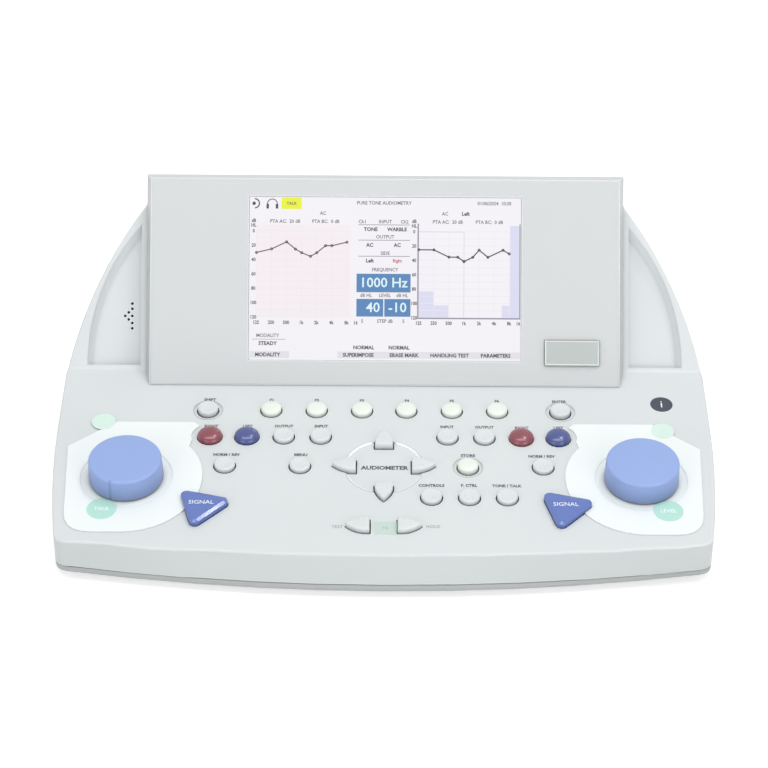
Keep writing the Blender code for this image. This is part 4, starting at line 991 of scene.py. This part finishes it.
# %% Faint prints
MINT_WORDS = [("TALK", -148.5, -100.8), ("LEVEL", 150.0, -100.0)]
MINT_WORD_FORM = (2.6 * mm, 0.95, PLATE_TOP + INK, 0.02)
printed_words("mint_words", white_ink, MINT_WORDS, PANEL, *MINT_WORD_FORM)
pale_ink = printed("pale_ink", "#BFD2C9")
faint_ink = printed("faint_ink", "#A3ABA8")
FRONT_BOX = (-4.7 * mm, -118.5 * mm, 7.0 * mm, -108.9 * mm)
FRONT_WORDS = [("HL", 1.15, -113.7), ("TEST", -24.2, -113.0), ("HOLD", 25.9, -112.5)]
shape = bmesh.new()
add_box(shape, *FRONT_BOX, 0, PANEL_LIFT + INK)
piece("front_box", placed(shape, PANEL), pale_ink)
printed_words("front_words", faint_ink, FRONT_WORDS, PANEL, 2.2 * mm, 0.9, PANEL_LIFT + INK)
print("inks:", len([m for m in bpy.data.materials if m.name.endswith("ink")]))

# %% [markdown]
# The screen is a lit panel behind glass. The picture on it is built from thin flat layers that glow,
# each a few hundredths of a millimetre above the one below, all sunk under the face of the frame.

# %% Lit colours
GLOW = 0.93
DIM, BRIGHT = GLOW * 0.97, GLOW * 1.02
BACKLIGHT_PATCH = 60 * mm
PANE_GLASS = {"Base_Color": (0.01, 0.01, 0.01, 1), "Roughness": 0.12, "IOR": 1.52}


def lit(name, colour):
    """A patch of the screen: black under its glow, glossy as glass, a little dimmer in patches."""
    made, tree, shader = new_material(name, **PANE_GLASS)
    patch = clouds(tree, BACKLIGHT_PATCH).outputs["Fac"]
    colours = {"Factor": patch, MIX_A: linear(colour, DIM), MIX_B: linear(colour, BRIGHT)}
    mix = add_node(tree, "ShaderNodeMix", colours, data_type="RGBA")
    tree.links.new(mix.outputs[MIXED], shader.inputs["Emission Color"])
    shader.inputs["Emission Strength"].default_value = 1.0
    return made


SCREEN_COLOURS = {
    "light": "#F7F5FA",
    "rose": "#F8F0F4",
    "rose_line": "#F2E9EE",
    "cross": "#D6D2D8",
    "lilac": "#DFDFF6",
    "frame": "#9A96A6",
    "ink": "#4A4850",
    "soft_ink": "#77737C",
    "red": "#C8506A",
    "blue": "#5486BC",
    "pale": "#E4FBFF",
    "yellow": "#EEF52E",
    "bar": "#E4E4EA",
}
screen = {name: lit("screen_" + name, colour) for name, colour in SCREEN_COLOURS.items()}
print("lit colours:", len(screen))

# %% [markdown]
# Charts are where Geometry Nodes earn their place: one tree draws a grid of any size,
# by putting thin boxes on two lines of points, and it can be used again for the other chart.

# %% A grid from nodes
def grid_tree():
    """Lines across and up a rectangle whose lower left corner is at the origin."""
    tree = bpy.data.node_groups.new("chart_grid", "GeometryNodeTree")
    sockets = tree.interface
    for name, kind in (
        ("Width", "NodeSocketFloat"),
        ("Height", "NodeSocketFloat"),
        ("Columns", "NodeSocketInt"),
        ("Rows", "NodeSocketInt"),
        ("Line", "NodeSocketFloat"),
        ("Thickness", "NodeSocketFloat"),
        ("Material", "NodeSocketMaterial"),
    ):
        sockets.new_socket(name, in_out="INPUT", socket_type=kind)
    sockets.new_socket("Geometry", in_out="OUTPUT", socket_type="NodeSocketGeometry")
    given = add_node(tree, "NodeGroupInput").outputs
    join = add_node(tree, "GeometryNodeJoinGeometry")
    for along, count, across in (("Width", "Columns", "Height"), ("Height", "Rows", "Width")):
        flat = along == "Width"
        step = add_node(tree, "ShaderNodeMath", {0: given[along], 1: given[count]}, operation="DIVIDE")
        more = add_node(tree, "ShaderNodeMath", {0: given[count], 1: 1.0}, operation="ADD")
        half = add_node(tree, "ShaderNodeMath", {0: given[across], 1: 2.0}, operation="DIVIDE")
        start = {"Y": half.outputs[0]} if flat else {"X": half.outputs[0]}
        start = add_node(tree, "ShaderNodeCombineXYZ", start)
        move = {"X": step.outputs[0]} if flat else {"Y": step.outputs[0]}
        move = add_node(tree, "ShaderNodeCombineXYZ", move)
        line = {"Count": more.outputs[0], "Start Location": start.outputs[0], "Offset": move.outputs[0]}
        line = add_node(tree, "GeometryNodeMeshLine", line)
        size = {"X": given["Line"] if flat else given[across], "Z": given["Thickness"]}
        size["Y"] = given[across] if flat else given["Line"]
        size = add_node(tree, "ShaderNodeCombineXYZ", size)
        bar = add_node(tree, "GeometryNodeMeshCube", {"Size": size.outputs[0]})
        many = {"Points": line.outputs[0], "Instance": bar.outputs["Mesh"]}
        many = add_node(tree, "GeometryNodeInstanceOnPoints", many)
        tree.links.new(many.outputs[0], join.inputs[0])
    real = add_node(tree, "GeometryNodeRealizeInstances", {"Geometry": join.outputs[0]})
    finish = {"Geometry": real.outputs[0], "Material": given["Material"]}
    finish = add_node(tree, "GeometryNodeSetMaterial", finish)
    add_node(tree, "NodeGroupOutput", {"Geometry": finish.outputs[0]})
    return tree


def from_nodes(tree, values):
    """Runs a node tree once and returns what it makes as a plain mesh."""
    holder = linked(tree.name, bpy.data.meshes.new(tree.name))
    modifier = holder.modifiers.new("nodes", "NODES")
    modifier.node_group = tree
    for item in tree.interface.items_tree:
        if item.in_out == "INPUT":
            modifier[item.identifier] = values[item.name]
    return baked(holder)


GRID = grid_tree()
print("nodes in the grid tree:", len(GRID.nodes))

# %% [markdown]
# The picture is built up in layers, as a paper collage is: grounds first, then boxes and lines,
# and words on top. A patch is a thin box, and a bent line is a flat slab for each of its stretches.

# %% Layers of the picture
LAYER = 0.03 * mm
PANE_TOP = -0.3 * mm
LAP = 0.1
WORD_LAYER = 3


def level(layer):
    """The height of a layer of the picture over the frame's face."""
    return PANE_TOP + layer * LAYER


def add_stroke(shape, points, width, layer):
    """A line through points, as one flat slab for each stretch. Every other one is a little higher."""
    for i, (start, end) in enumerate(zip(points, points[1:])):
        along = (end - start).normalized() * width / 2
        side = Vector((-along.y, along.x))
        start, end = start - along, end + along
        corners = (start - side, end - side, end + side, start + side)
        add_slab(shape, corners, level(layer), level(layer + 1 + LAP * (i % 2)))


def screen_boxes(name, material, boxes, layer):
    """Flat patches of the picture, each (left, bottom, right, top) in millimetres."""
    shape = bmesh.new()
    for box in boxes:
        left, bottom, right, top = (edge * mm for edge in box)
        add_box(shape, left, bottom, right, top, level(layer), level(layer + 1))
    return piece(name, placed(shape, FACE), material)


def screen_words(name, material, rows, height, squeeze, bold):
    """Words of the picture, in rows like those on the panel, over every other layer."""
    return printed_words(name, material, rows, FACE, height, squeeze, level(WORD_LAYER), bold)


dress(screen["light"], "screen_window")
print("the picture's words lie", round(-level(WORD_LAYER) / mm, 2), "mm under the frame's face")

# %% [markdown]
# The picture is laid out the way the real one is: two hearing charts, a column of settings between them,
# a title row above, and names for the keys below. A chart counts decibels down its side
# and octaves along its bottom, so each place on it is worked out from a sound's pitch and level.

# %% The charts
TRACE = 0.6 * mm
MARK_INNER = 0.45 * mm
MARK_OUTER = 0.85 * mm
OCTAVE = 8.42 * mm
DECIBEL = 0.402 * mm
ZERO_LEVEL = 87.4 * mm
CHART_TOP = 91.0 * mm
CHART_BOTTOM = 39.4 * mm
CHART_WIDTH = 52.6 * mm
CHARTS = {"left": -71.9 * mm, "right": 18.8 * mm}
CHART_OCTAVES = 6
CHART_LOUDEST = 120
LOUDNESS_STEP = 10
LOWEST_PITCH = 125
GRID_LINE = 0.28 * mm
GRID_LAYER = 1.5
MARK_SIDES = 16
RIGHT_TRACE_SHARE = 1.15
LEFT_EAR = {125: 30, 250: 25, 500: 15, 750: 25, 1000: 30, 1500: 35, 2000: 30, 3000: 20}
LEFT_EAR.update({4000: 20, 8000: 15})
RIGHT_EAR = {125: 25, 250: 25, 500: 35, 750: 35, 1000: 41, 1500: 35, 2000: 25, 3000: 35}
RIGHT_EAR.update({6000: 25, 8000: 30})


def chart_place(side, pitch, loudness):
    """Where a tone of that pitch in hertz and level in decibels lies on a chart."""
    x = CHARTS[side] + math.log2(pitch / LOWEST_PITCH) * OCTAVE
    return Vector((x, ZERO_LEVEL - loudness * DECIBEL))


def chart_grid(side, material):
    """The faint lines of a chart, one for each octave and each ten decibels."""
    values = {
        "Width": CHART_OCTAVES * OCTAVE,
        "Height": CHART_LOUDEST * DECIBEL,
        "Columns": CHART_OCTAVES,
        "Rows": CHART_LOUDEST // LOUDNESS_STEP,
        "Line": GRID_LINE,
        "Thickness": LAYER,
        "Material": material,
    }
    mesh = from_nodes(GRID, values)
    corner = Matrix.Translation((CHARTS[side], CHART_BOTTOM, level(GRID_LAYER)))
    mesh.transform(FACE @ corner)
    return piece("chart_grid_" + side, mesh, material)


def chart_trace(side, levels, width):
    """The line through the tones that one ear just heard, with a ring on each."""
    shape = bmesh.new()
    places = [chart_place(side, pitch, loudness) for pitch, loudness in levels.items()]
    add_stroke(shape, places, width, WORD_LAYER)
    low, high = level(WORD_LAYER), level(WORD_LAYER + 1.5)
    for place in places:
        add_ring(shape, place.x, place.y, MARK_INNER, MARK_OUTER, low, high, sides=MARK_SIDES)
    return piece("chart_trace_" + side, placed(shape, FACE), screen["ink"])


left, right = (CHARTS[side] / mm for side in SIDES)
bottom, top, width = CHART_BOTTOM / mm, CHART_TOP / mm, CHART_WIDTH / mm
screen_boxes("chart_ground_left", screen["rose"], [(left, bottom, left + width, top)], 0)
for name, length in (("octave", OCTAVE), ("ten decibels", 10 * DECIBEL)):
    print(name, "=", round(length / mm, 2), "mm on a chart")

# %% [markdown]
# The right chart also has shaded steps at its corners, a frame round it, and a thin cross
# that runs from its edges to the tone being tested. Both get their grid, and last their trace.

# %% What the charts show
FRAME_REACH = 56.2
FRAME_LINE = 0.8
FRAME_TOP = top + 1
STEP_WIDTH = 8.3
CROSS_TONE = 1000
CROSS_HALF = 0.15
edge, low = right + FRAME_REACH, bottom - FRAME_LINE
steps = [(right, bottom, right + STEP_WIDTH, 54.1)]
steps += [(right + STEP_WIDTH, bottom, right + 2 * STEP_WIDTH, 46.3)]
steps += [(right + 51.0, bottom, edge, top), (right + 46.4, bottom, right + 51.0, 46.3)]
screen_boxes("chart_steps_right", screen["lilac"], steps, 0)
chart_grid("left", screen["rose_line"])
chart_grid("right", screen["rose_line"])
lines = [(right - FRAME_LINE, low, right, FRAME_TOP), (right, low, edge, bottom)]
lines += [(edge, low, edge + 0.6, FRAME_TOP)]
screen_boxes("chart_frame_right", screen["frame"], lines, 2)
cross = chart_place("right", CROSS_TONE, 0) / mm
lines = [(right, cross.y - CROSS_HALF, cross.x, cross.y + CROSS_HALF)]
lines += [(cross.x - CROSS_HALF, bottom, cross.x + CROSS_HALF, cross.y)]
screen_boxes("chart_cross", screen["cross"], lines, 2)
chart_trace("left", LEFT_EAR, TRACE)
chart_trace("right", RIGHT_EAR, TRACE * RIGHT_TRACE_SHARE)
print("frame of the right chart:", FRAME_REACH, "x", round(FRAME_TOP - low, 1), "mm")

# %% [markdown]
# The rest of the picture is boxes and words, each with its place in millimetres on the display's face.
# Blue boxes hold the big numbers, pale bars lie behind the names of the keys below the screen,
# and a yellow tag marks the mode.

# %% The settings between the charts
COLUMN = (-15.9, 14.3)
ROW_LINES = [91.2, 82.6, 73.6]
SETTING_BOXES = [(COLUMN[0], 53.4, COLUMN[1], 63.8), (COLUMN[0], 39.8, -0.9, 49.7)]
SETTING_BOXES += [(-0.3, 39.8, COLUMN[1], 49.7)]
screen_boxes("setting_boxes", screen["blue"], SETTING_BOXES, 1)
lines = [(-15.0, y - 0.2, 13.8, y + 0.2) for y in ROW_LINES] + [(-74.0, 26.7, -55.4, 27.0)]
screen_boxes("setting_lines", screen["frame"], lines, 1)
KEY_BARS = [(-75.4, 16.4, -53.2, 20.2), (-26.4, 16.4, 75.6, 20.2)]
screen_boxes("key_bar", screen["bar"], KEY_BARS, 1)
screen_boxes("mode_tag", screen["yellow"], [(-58.1, 99.8, -46.8, 106.2)], 1)
print("blue boxes:", len(SETTING_BOXES), "key bars:", len(KEY_BARS))

# %% [markdown]
# The words are sorted by ink and height, so each sort is one piece.
# The numbers along a chart stand where its own scale puts them.

# %% Words on the screen
SMALL = [("Ch1", -12.7, 92.9), ("INPUT", 0.0, 92.9), ("Ch2", 10.8, 92.9), ("OUTPUT", 0.0, 84.4)]
SMALL += [("SIDE", 0.0, 75.2), ("FREQUENCY", 0.0, 66.0), ("dB HL", -10.6, 51.6), ("LEVEL", 0.0, 51.6)]
SMALL += [("dB HL", 9.6, 51.6), ("5", -12.6, 37.2), ("STEP dB", 0.0, 37.2), ("5", 10.4, 37.2)]
SMALL += [("PURE TONE AUDIOMETRY", -0.7, 103.4), ("01/06/2024  10:30", 60.9, 103.4)]
SMALL += [("AC", -34.8, 97.5), ("AC", 33.4, 97.5), ("MODALITY", -65.3, 28.9)]
for x, kind in ((-56.0, "AC"), (-33.3, "BC"), (34.9, "AC"), (58.1, "BC")):
    SMALL.append((f"PTA {kind}:  {20 if kind == 'AC' else 0} dB", x, 92.9))
screen_words("small_words", screen["soft_ink"], SMALL, 2.0 * mm, 0.94, 0.03)
STRONG = [("TONE", -8.1, 88.6), ("WARBLE", 6.6, 88.6), ("AC", -8.6, 79.8), ("AC", 6.8, 79.8)]
STRONG += [("Left", -8.6, 71.0)]
STRONG += [("STEADY", -65.3, 24.5), ("NORMAL", -11.7, 22.4), ("NORMAL", 8.0, 22.4), ("Left", 44.9, 97.5)]
KEY_WORDS = [("MODALITY", -65.3), ("SUPERIMPOSE", -14.7), ("ERASE MARK", 10.8)]
KEY_WORDS += [("HANDLING TEST", 36.2), ("PARAMETERS", 61.9)]
STRONG += [(words, x, 18.2) for words, x in KEY_WORDS]
screen_words("strong_words", screen["ink"], STRONG, 2.1 * mm, 0.98, 0.05)
screen_words("red_word", screen["red"], [("Right", 6.8, 71.0)], 1.9 * mm, 0.95, 0.035)
screen_words("tag_word", screen["ink"], [("TALK", -52.4, 102.9)], 1.7 * mm, 1.0, 0.02)
BIG = [("1000 Hz", -0.8, 58.6), ("40", -6.6, 44.7), ("-10", 7.0, 44.7)]
screen_words("big_numbers", screen["pale"], BIG, 5.6 * mm, 1.02, 0.015)
PITCHES = ("125", "250", "500", "1k", "2k", "4k", "8k")
LAST_TICK = 6.6
TICK_Y = 36.2
ticks = []
for side, x in (("left", left - 1.6), ("right", right - 2.6)):
    ticks += [("dB", x, 93.2), ("HL", x, 90.6)]
    for step in range(0, CHART_LOUDEST + 1, 2 * LOUDNESS_STEP):
        ticks.append((str(step), x, chart_place(side, LOWEST_PITCH, step).y / mm))
    ticks += [(name, (CHARTS[side] + i * OCTAVE) / mm, TICK_Y) for i, name in enumerate(PITCHES)]
    ticks.append(("16", (CHARTS[side] + LAST_TICK * OCTAVE) / mm, TICK_Y))
screen_words("tick_words", screen["ink"], ticks, 2.0 * mm, 0.86, 0.04)
print("words:", len(SMALL) + len(STRONG) + len(BIG), "numbers along the charts:", len(ticks))

# %% [markdown]
# Two small pictures stand at the top left, a sounding speaker and a pair of headphones.
# Half rings, a disc and two boxes are enough for them at this size.

# %% Small pictures on the screen
SOUND = {"x": -73.0 * mm, "y": 102.9 * mm, "inner": 2.2 * mm, "outer": 2.9 * mm}
SOUND_DOT = (-73.4 * mm, 102.9 * mm, 1.0 * mm)
BAND = {"x": -63.2 * mm, "y": 102.6 * mm, "inner": 2.5 * mm, "outer": 3.0 * mm}
CUP_OUT = 2.6 * mm
CUP_HALF = 0.7 * mm
CUP_LOW = 100.0 * mm
ICON_SIDES = 24
CURSOR_RADIUS = 1.1 * mm


def screen_icons():
    shape = bmesh.new()
    low, high = level(2), level(3)
    half = {"low": low, "high": high, "sweep": math.pi, "sides": ICON_SIDES}
    add_ring(shape, start=-math.pi / 2, **SOUND, **half)
    add_disc(shape, *SOUND_DOT, low, high, ICON_SIDES)
    add_ring(shape, start=0, **BAND, **half)
    for x in (BAND["x"] - CUP_OUT, BAND["x"] + CUP_OUT):
        add_box(shape, x - CUP_HALF, CUP_LOW, x + CUP_HALF, BAND["y"], low, high)
    return piece("screen_icons", placed(shape, FACE), screen["ink"])


def cursor_mark():
    """The dark diamond that marks the tone being tested."""
    x, y = chart_place("right", CROSS_TONE, RIGHT_EAR[CROSS_TONE])
    shape = bmesh.new()
    add_disc(shape, x, y, CURSOR_RADIUS, level(4), level(5), 4)
    return piece("chart_cursor", placed(shape, FACE), screen["ink"])


screen_icons()
cursor_mark()

# %% [markdown]
# The remaining solids keep their shape and only get a finish: the plate at the back, the switch
# and inlet, the screws, and the mat, board, display module and speaker inside.

# %% Solids that keep their shape
FOUR = (1, 2, 3, 4)
dress(rolled_aluminium, "rear_plate")
dress(black_nylon, "power_inlet", "power_switch", "speaker")
dress(zinc_steel, "lcd_module", *(f"case_screw_{i}" for i in FOUR))
dress(mat_rubber, "keypad_mat")
dress(board_laminate, "main_board")
low, high = seat("rear_plate", REAR)
print("plate at the back:", round((high.x - low.x) / mm), "x", round((high.y - low.y) / mm), "mm")

# %% [markdown]
# From behind, the audiometer shows a rolled aluminium plate with four headphone sockets,
# a power switch and an inlet. The sockets are turned, with a bright ring round each bore.

# %% Sockets at the back
JACK_BORE = 3.3 * mm
JACK_NECK = 4.6 * mm
JACK_FLANGE = 1.2 * mm
JACK_EDGE = 0.5 * mm
JACK_THREAD = 14 * mm
JACK_FLOOR = 1.2 * mm
JACK_SLACK = 0.1 * mm
JACK_SIDES = 64
RING_WALL = 0.25 * mm
RING_DEPTH = 6 * mm
RING_SUNK = 0.02 * mm


def jack(node):
    """A socket with a rounded flange, and the nickel ring pressed into its face."""
    low, high = seat(node, REAR)
    x, y = middle(low, high)
    outer = (high.x - low.x) / 2
    face, under, neck = outer - JACK_SLACK, high.z - JACK_FLANGE, low.z + JACK_THREAD
    floor = low.z + JACK_FLOOR
    profile = [(0, low.z), (outer, low.z), (outer, neck), (JACK_NECK, neck)]
    profile += [(JACK_NECK, under), (face, under)] + rounded(face, high.z, JACK_EDGE)[:-1]
    profile += [(JACK_BORE, high.z), (JACK_BORE, floor), (0, floor)]
    shape = placed(lathe(profile, JACK_SIDES), REAR, x, y)
    piece(node + "_body", shape, black_nylon, "console", (node,))
    ring = bmesh.new()
    depths = (high.z - RING_DEPTH, high.z - RING_SUNK)
    add_ring(ring, x, y, JACK_BORE - RING_WALL, JACK_BORE, *depths)
    return piece(node + "_ring", placed(ring, REAR), nickel_brass)


for i in FOUR:
    jack(f"jack_{i}")
print("bore of a socket:", round(2 * JACK_BORE / mm, 1), "mm")

# %% [markdown]
# Four soft rubber feet carry the console. Each is a turned disc with a rounded lower edge.

# %% Rubber feet
FOOT_EDGE = 0.8 * mm
FOOT_SIDES = 64
FOOT_ANGLES = (0.4, 0.8, 1.2)


def rubber_foot(node):
    low, high = (Vector(corner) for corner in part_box(node))
    radius = (high.x - low.x) / 2
    inner = radius - FOOT_EDGE
    profile = [(0, 0), (inner, 0)]
    for angle in FOOT_ANGLES:
        profile.append((inner + FOOT_EDGE * math.sin(angle), FOOT_EDGE * (1 - math.cos(angle))))
    profile += [(radius, FOOT_EDGE), (radius, high.z), (0, high.z)]
    shape = lathe(profile, FOOT_SIDES, None, *middle(low, high))
    return piece(node + "_pad", shape, foot_rubber, "console", (node,))


for i in FOUR:
    pad = rubber_foot(f"foot_{i}")
    print(pad.name, "has", len(pad.data.polygons), "faces")

# %% [markdown]
# The inlet's three pins are bright metal, so each gets a thin plated sleeve over the solid's blade.

# %% Inlet pins
PIN_PLATING = 0.08 * mm
PIN_HALF_WIDTH = 1.0 * mm + PIN_PLATING
PIN_HALF_HEIGHT = 2.0 * mm + PIN_PLATING
PIN_LENGTH = 10 * mm + PIN_PLATING
INLET_DEPTH = 17 * mm
PINS = ((-7 * mm, -3 * mm), (0, 3 * mm), (7 * mm, -3 * mm))


def inlet_pins():
    low, high = seat("power_inlet", REAR)
    shape = bmesh.new()
    deep = high.z - INLET_DEPTH
    for across, y in PINS:
        x = middle(low, high)[0] + across
        box = (x - PIN_HALF_WIDTH, y - PIN_HALF_HEIGHT, x + PIN_HALF_WIDTH, y + PIN_HALF_HEIGHT)
        add_box(shape, *box, deep, deep + PIN_LENGTH)
    return piece("inlet_pins", placed(shape, REAR), nickel_brass)


inlet_pins()
print("inlet pins:", len(PINS))

# %% [markdown]
# The object stands on a plain pale floor. The floor glows a little to the camera alone,
# so the page behind stays white while the object keeps its own faint shadow.

# %% Floor and world
FLOOR_TONE = 0.62
FLOOR_LIFT = 0.6
FLOOR_RADIUS = 6.0
FLOOR_DEPTH = 0.01
SKY_HORIZON = 0.52
SKY_ZENITH = 0.66


def camera_rays(tree):
    """One for what the camera sees directly, in a mirror or through glass, and zero for lighting."""
    path = add_node(tree, "ShaderNodeLightPath").outputs
    seen = {0: path["Is Camera Ray"], 1: path["Is Glossy Ray"]}
    seen = add_node(tree, "ShaderNodeMath", seen, operation="MAXIMUM")
    more = {0: seen.outputs[0], 1: path["Is Transmission Ray"]}
    return add_node(tree, "ShaderNodeMath", more, operation="MAXIMUM").outputs[0]


def studio_floor():
    grey = (FLOOR_TONE, FLOOR_TONE, FLOOR_TONE, 1)
    made, tree, shader = new_material("studio_floor", Base_Color=grey, Roughness=0.9)
    shader.inputs["Emission Color"].default_value = (1, 1, 1, 1)
    glow = add_node(tree, "ShaderNodeMath", {0: camera_rays(tree), 1: FLOOR_LIFT}, operation="MULTIPLY")
    tree.links.new(glow.outputs[0], shader.inputs["Emission Strength"])
    shape = bmesh.new()
    add_disc(shape, 0, 0, FLOOR_RADIUS, -FLOOR_DEPTH, 0.0, 64)
    mesh = as_mesh("studio_floor", shape)
    mesh.materials.append(made)
    floor = linked("studio_floor", mesh)


def studio_world():
    """A white surround for the eye that lights softly, and more from overhead than from the sides."""
    world = bpy.data.worlds.new("studio")
    bpy.context.scene.world = world
    world.use_nodes = True
    tree = world.node_tree
    background = tree.nodes["Background"]
    background.inputs["Color"].default_value = (1, 1, 1, 1)
    way = add_node(tree, "ShaderNodeTexCoord").outputs["Generated"]
    height = add_node(tree, "ShaderNodeSeparateXYZ", {"Vector": way}).outputs["Z"]
    light = {"Value": height, "To Min": SKY_HORIZON, "To Max": SKY_ZENITH}
    light = add_node(tree, "ShaderNodeMapRange", light)
    seen = {"Value": camera_rays(tree), "To Min": light.outputs["Result"], "To Max": 1.0}
    seen = add_node(tree, "ShaderNodeMapRange", seen)
    tree.links.new(seen.outputs["Result"], background.inputs["Strength"])


studio_floor()
studio_world()
print("floor:", round(2 * FLOOR_RADIUS), "m across")

# %% [markdown]
# The light is soft, as in a product studio. A strip overhead lights the panel, two wide lamps
# fill the front, and a small one puts a glint on the slope of a triangle key.

# %% Lamps
LEFT_TRIANGLE = (-0.096, -0.088, 0.03)


def soft_lamp(name, place, size, power, aim=(0, 0, 0.05), depth=None):
    """A soft lamp aimed at a point. With a depth it is an oblong of that size instead of a disc."""
    light = bpy.data.lights.new(name, "AREA")
    light.shape = "RECTANGLE" if depth else "DISK"
    light.size = size
    light.size_y = depth or size
    light.energy = power
    lamp = linked(name, light)
    lamp.location = place
    lamp.rotation_euler = (Vector(aim) - Vector(place)).to_track_quat("-Z", "Y").to_euler()


soft_lamp("overhead_strip", (0, -0.3, 1.6), size=1.8, power=9.0, depth=0.3)
soft_lamp("glint_lamp", (0.493, 0.263, 1.476), size=0.2, power=3.0, aim=LEFT_TRIANGLE)
soft_lamp("left_fill", (-1.0, -1.4, 0.5), size=1.2, power=5.5)
soft_lamp("right_fill", (1.0, -1.4, 0.5), size=1.2, power=7.0)
bpy.context.scene.view_settings.view_transform = "Standard"
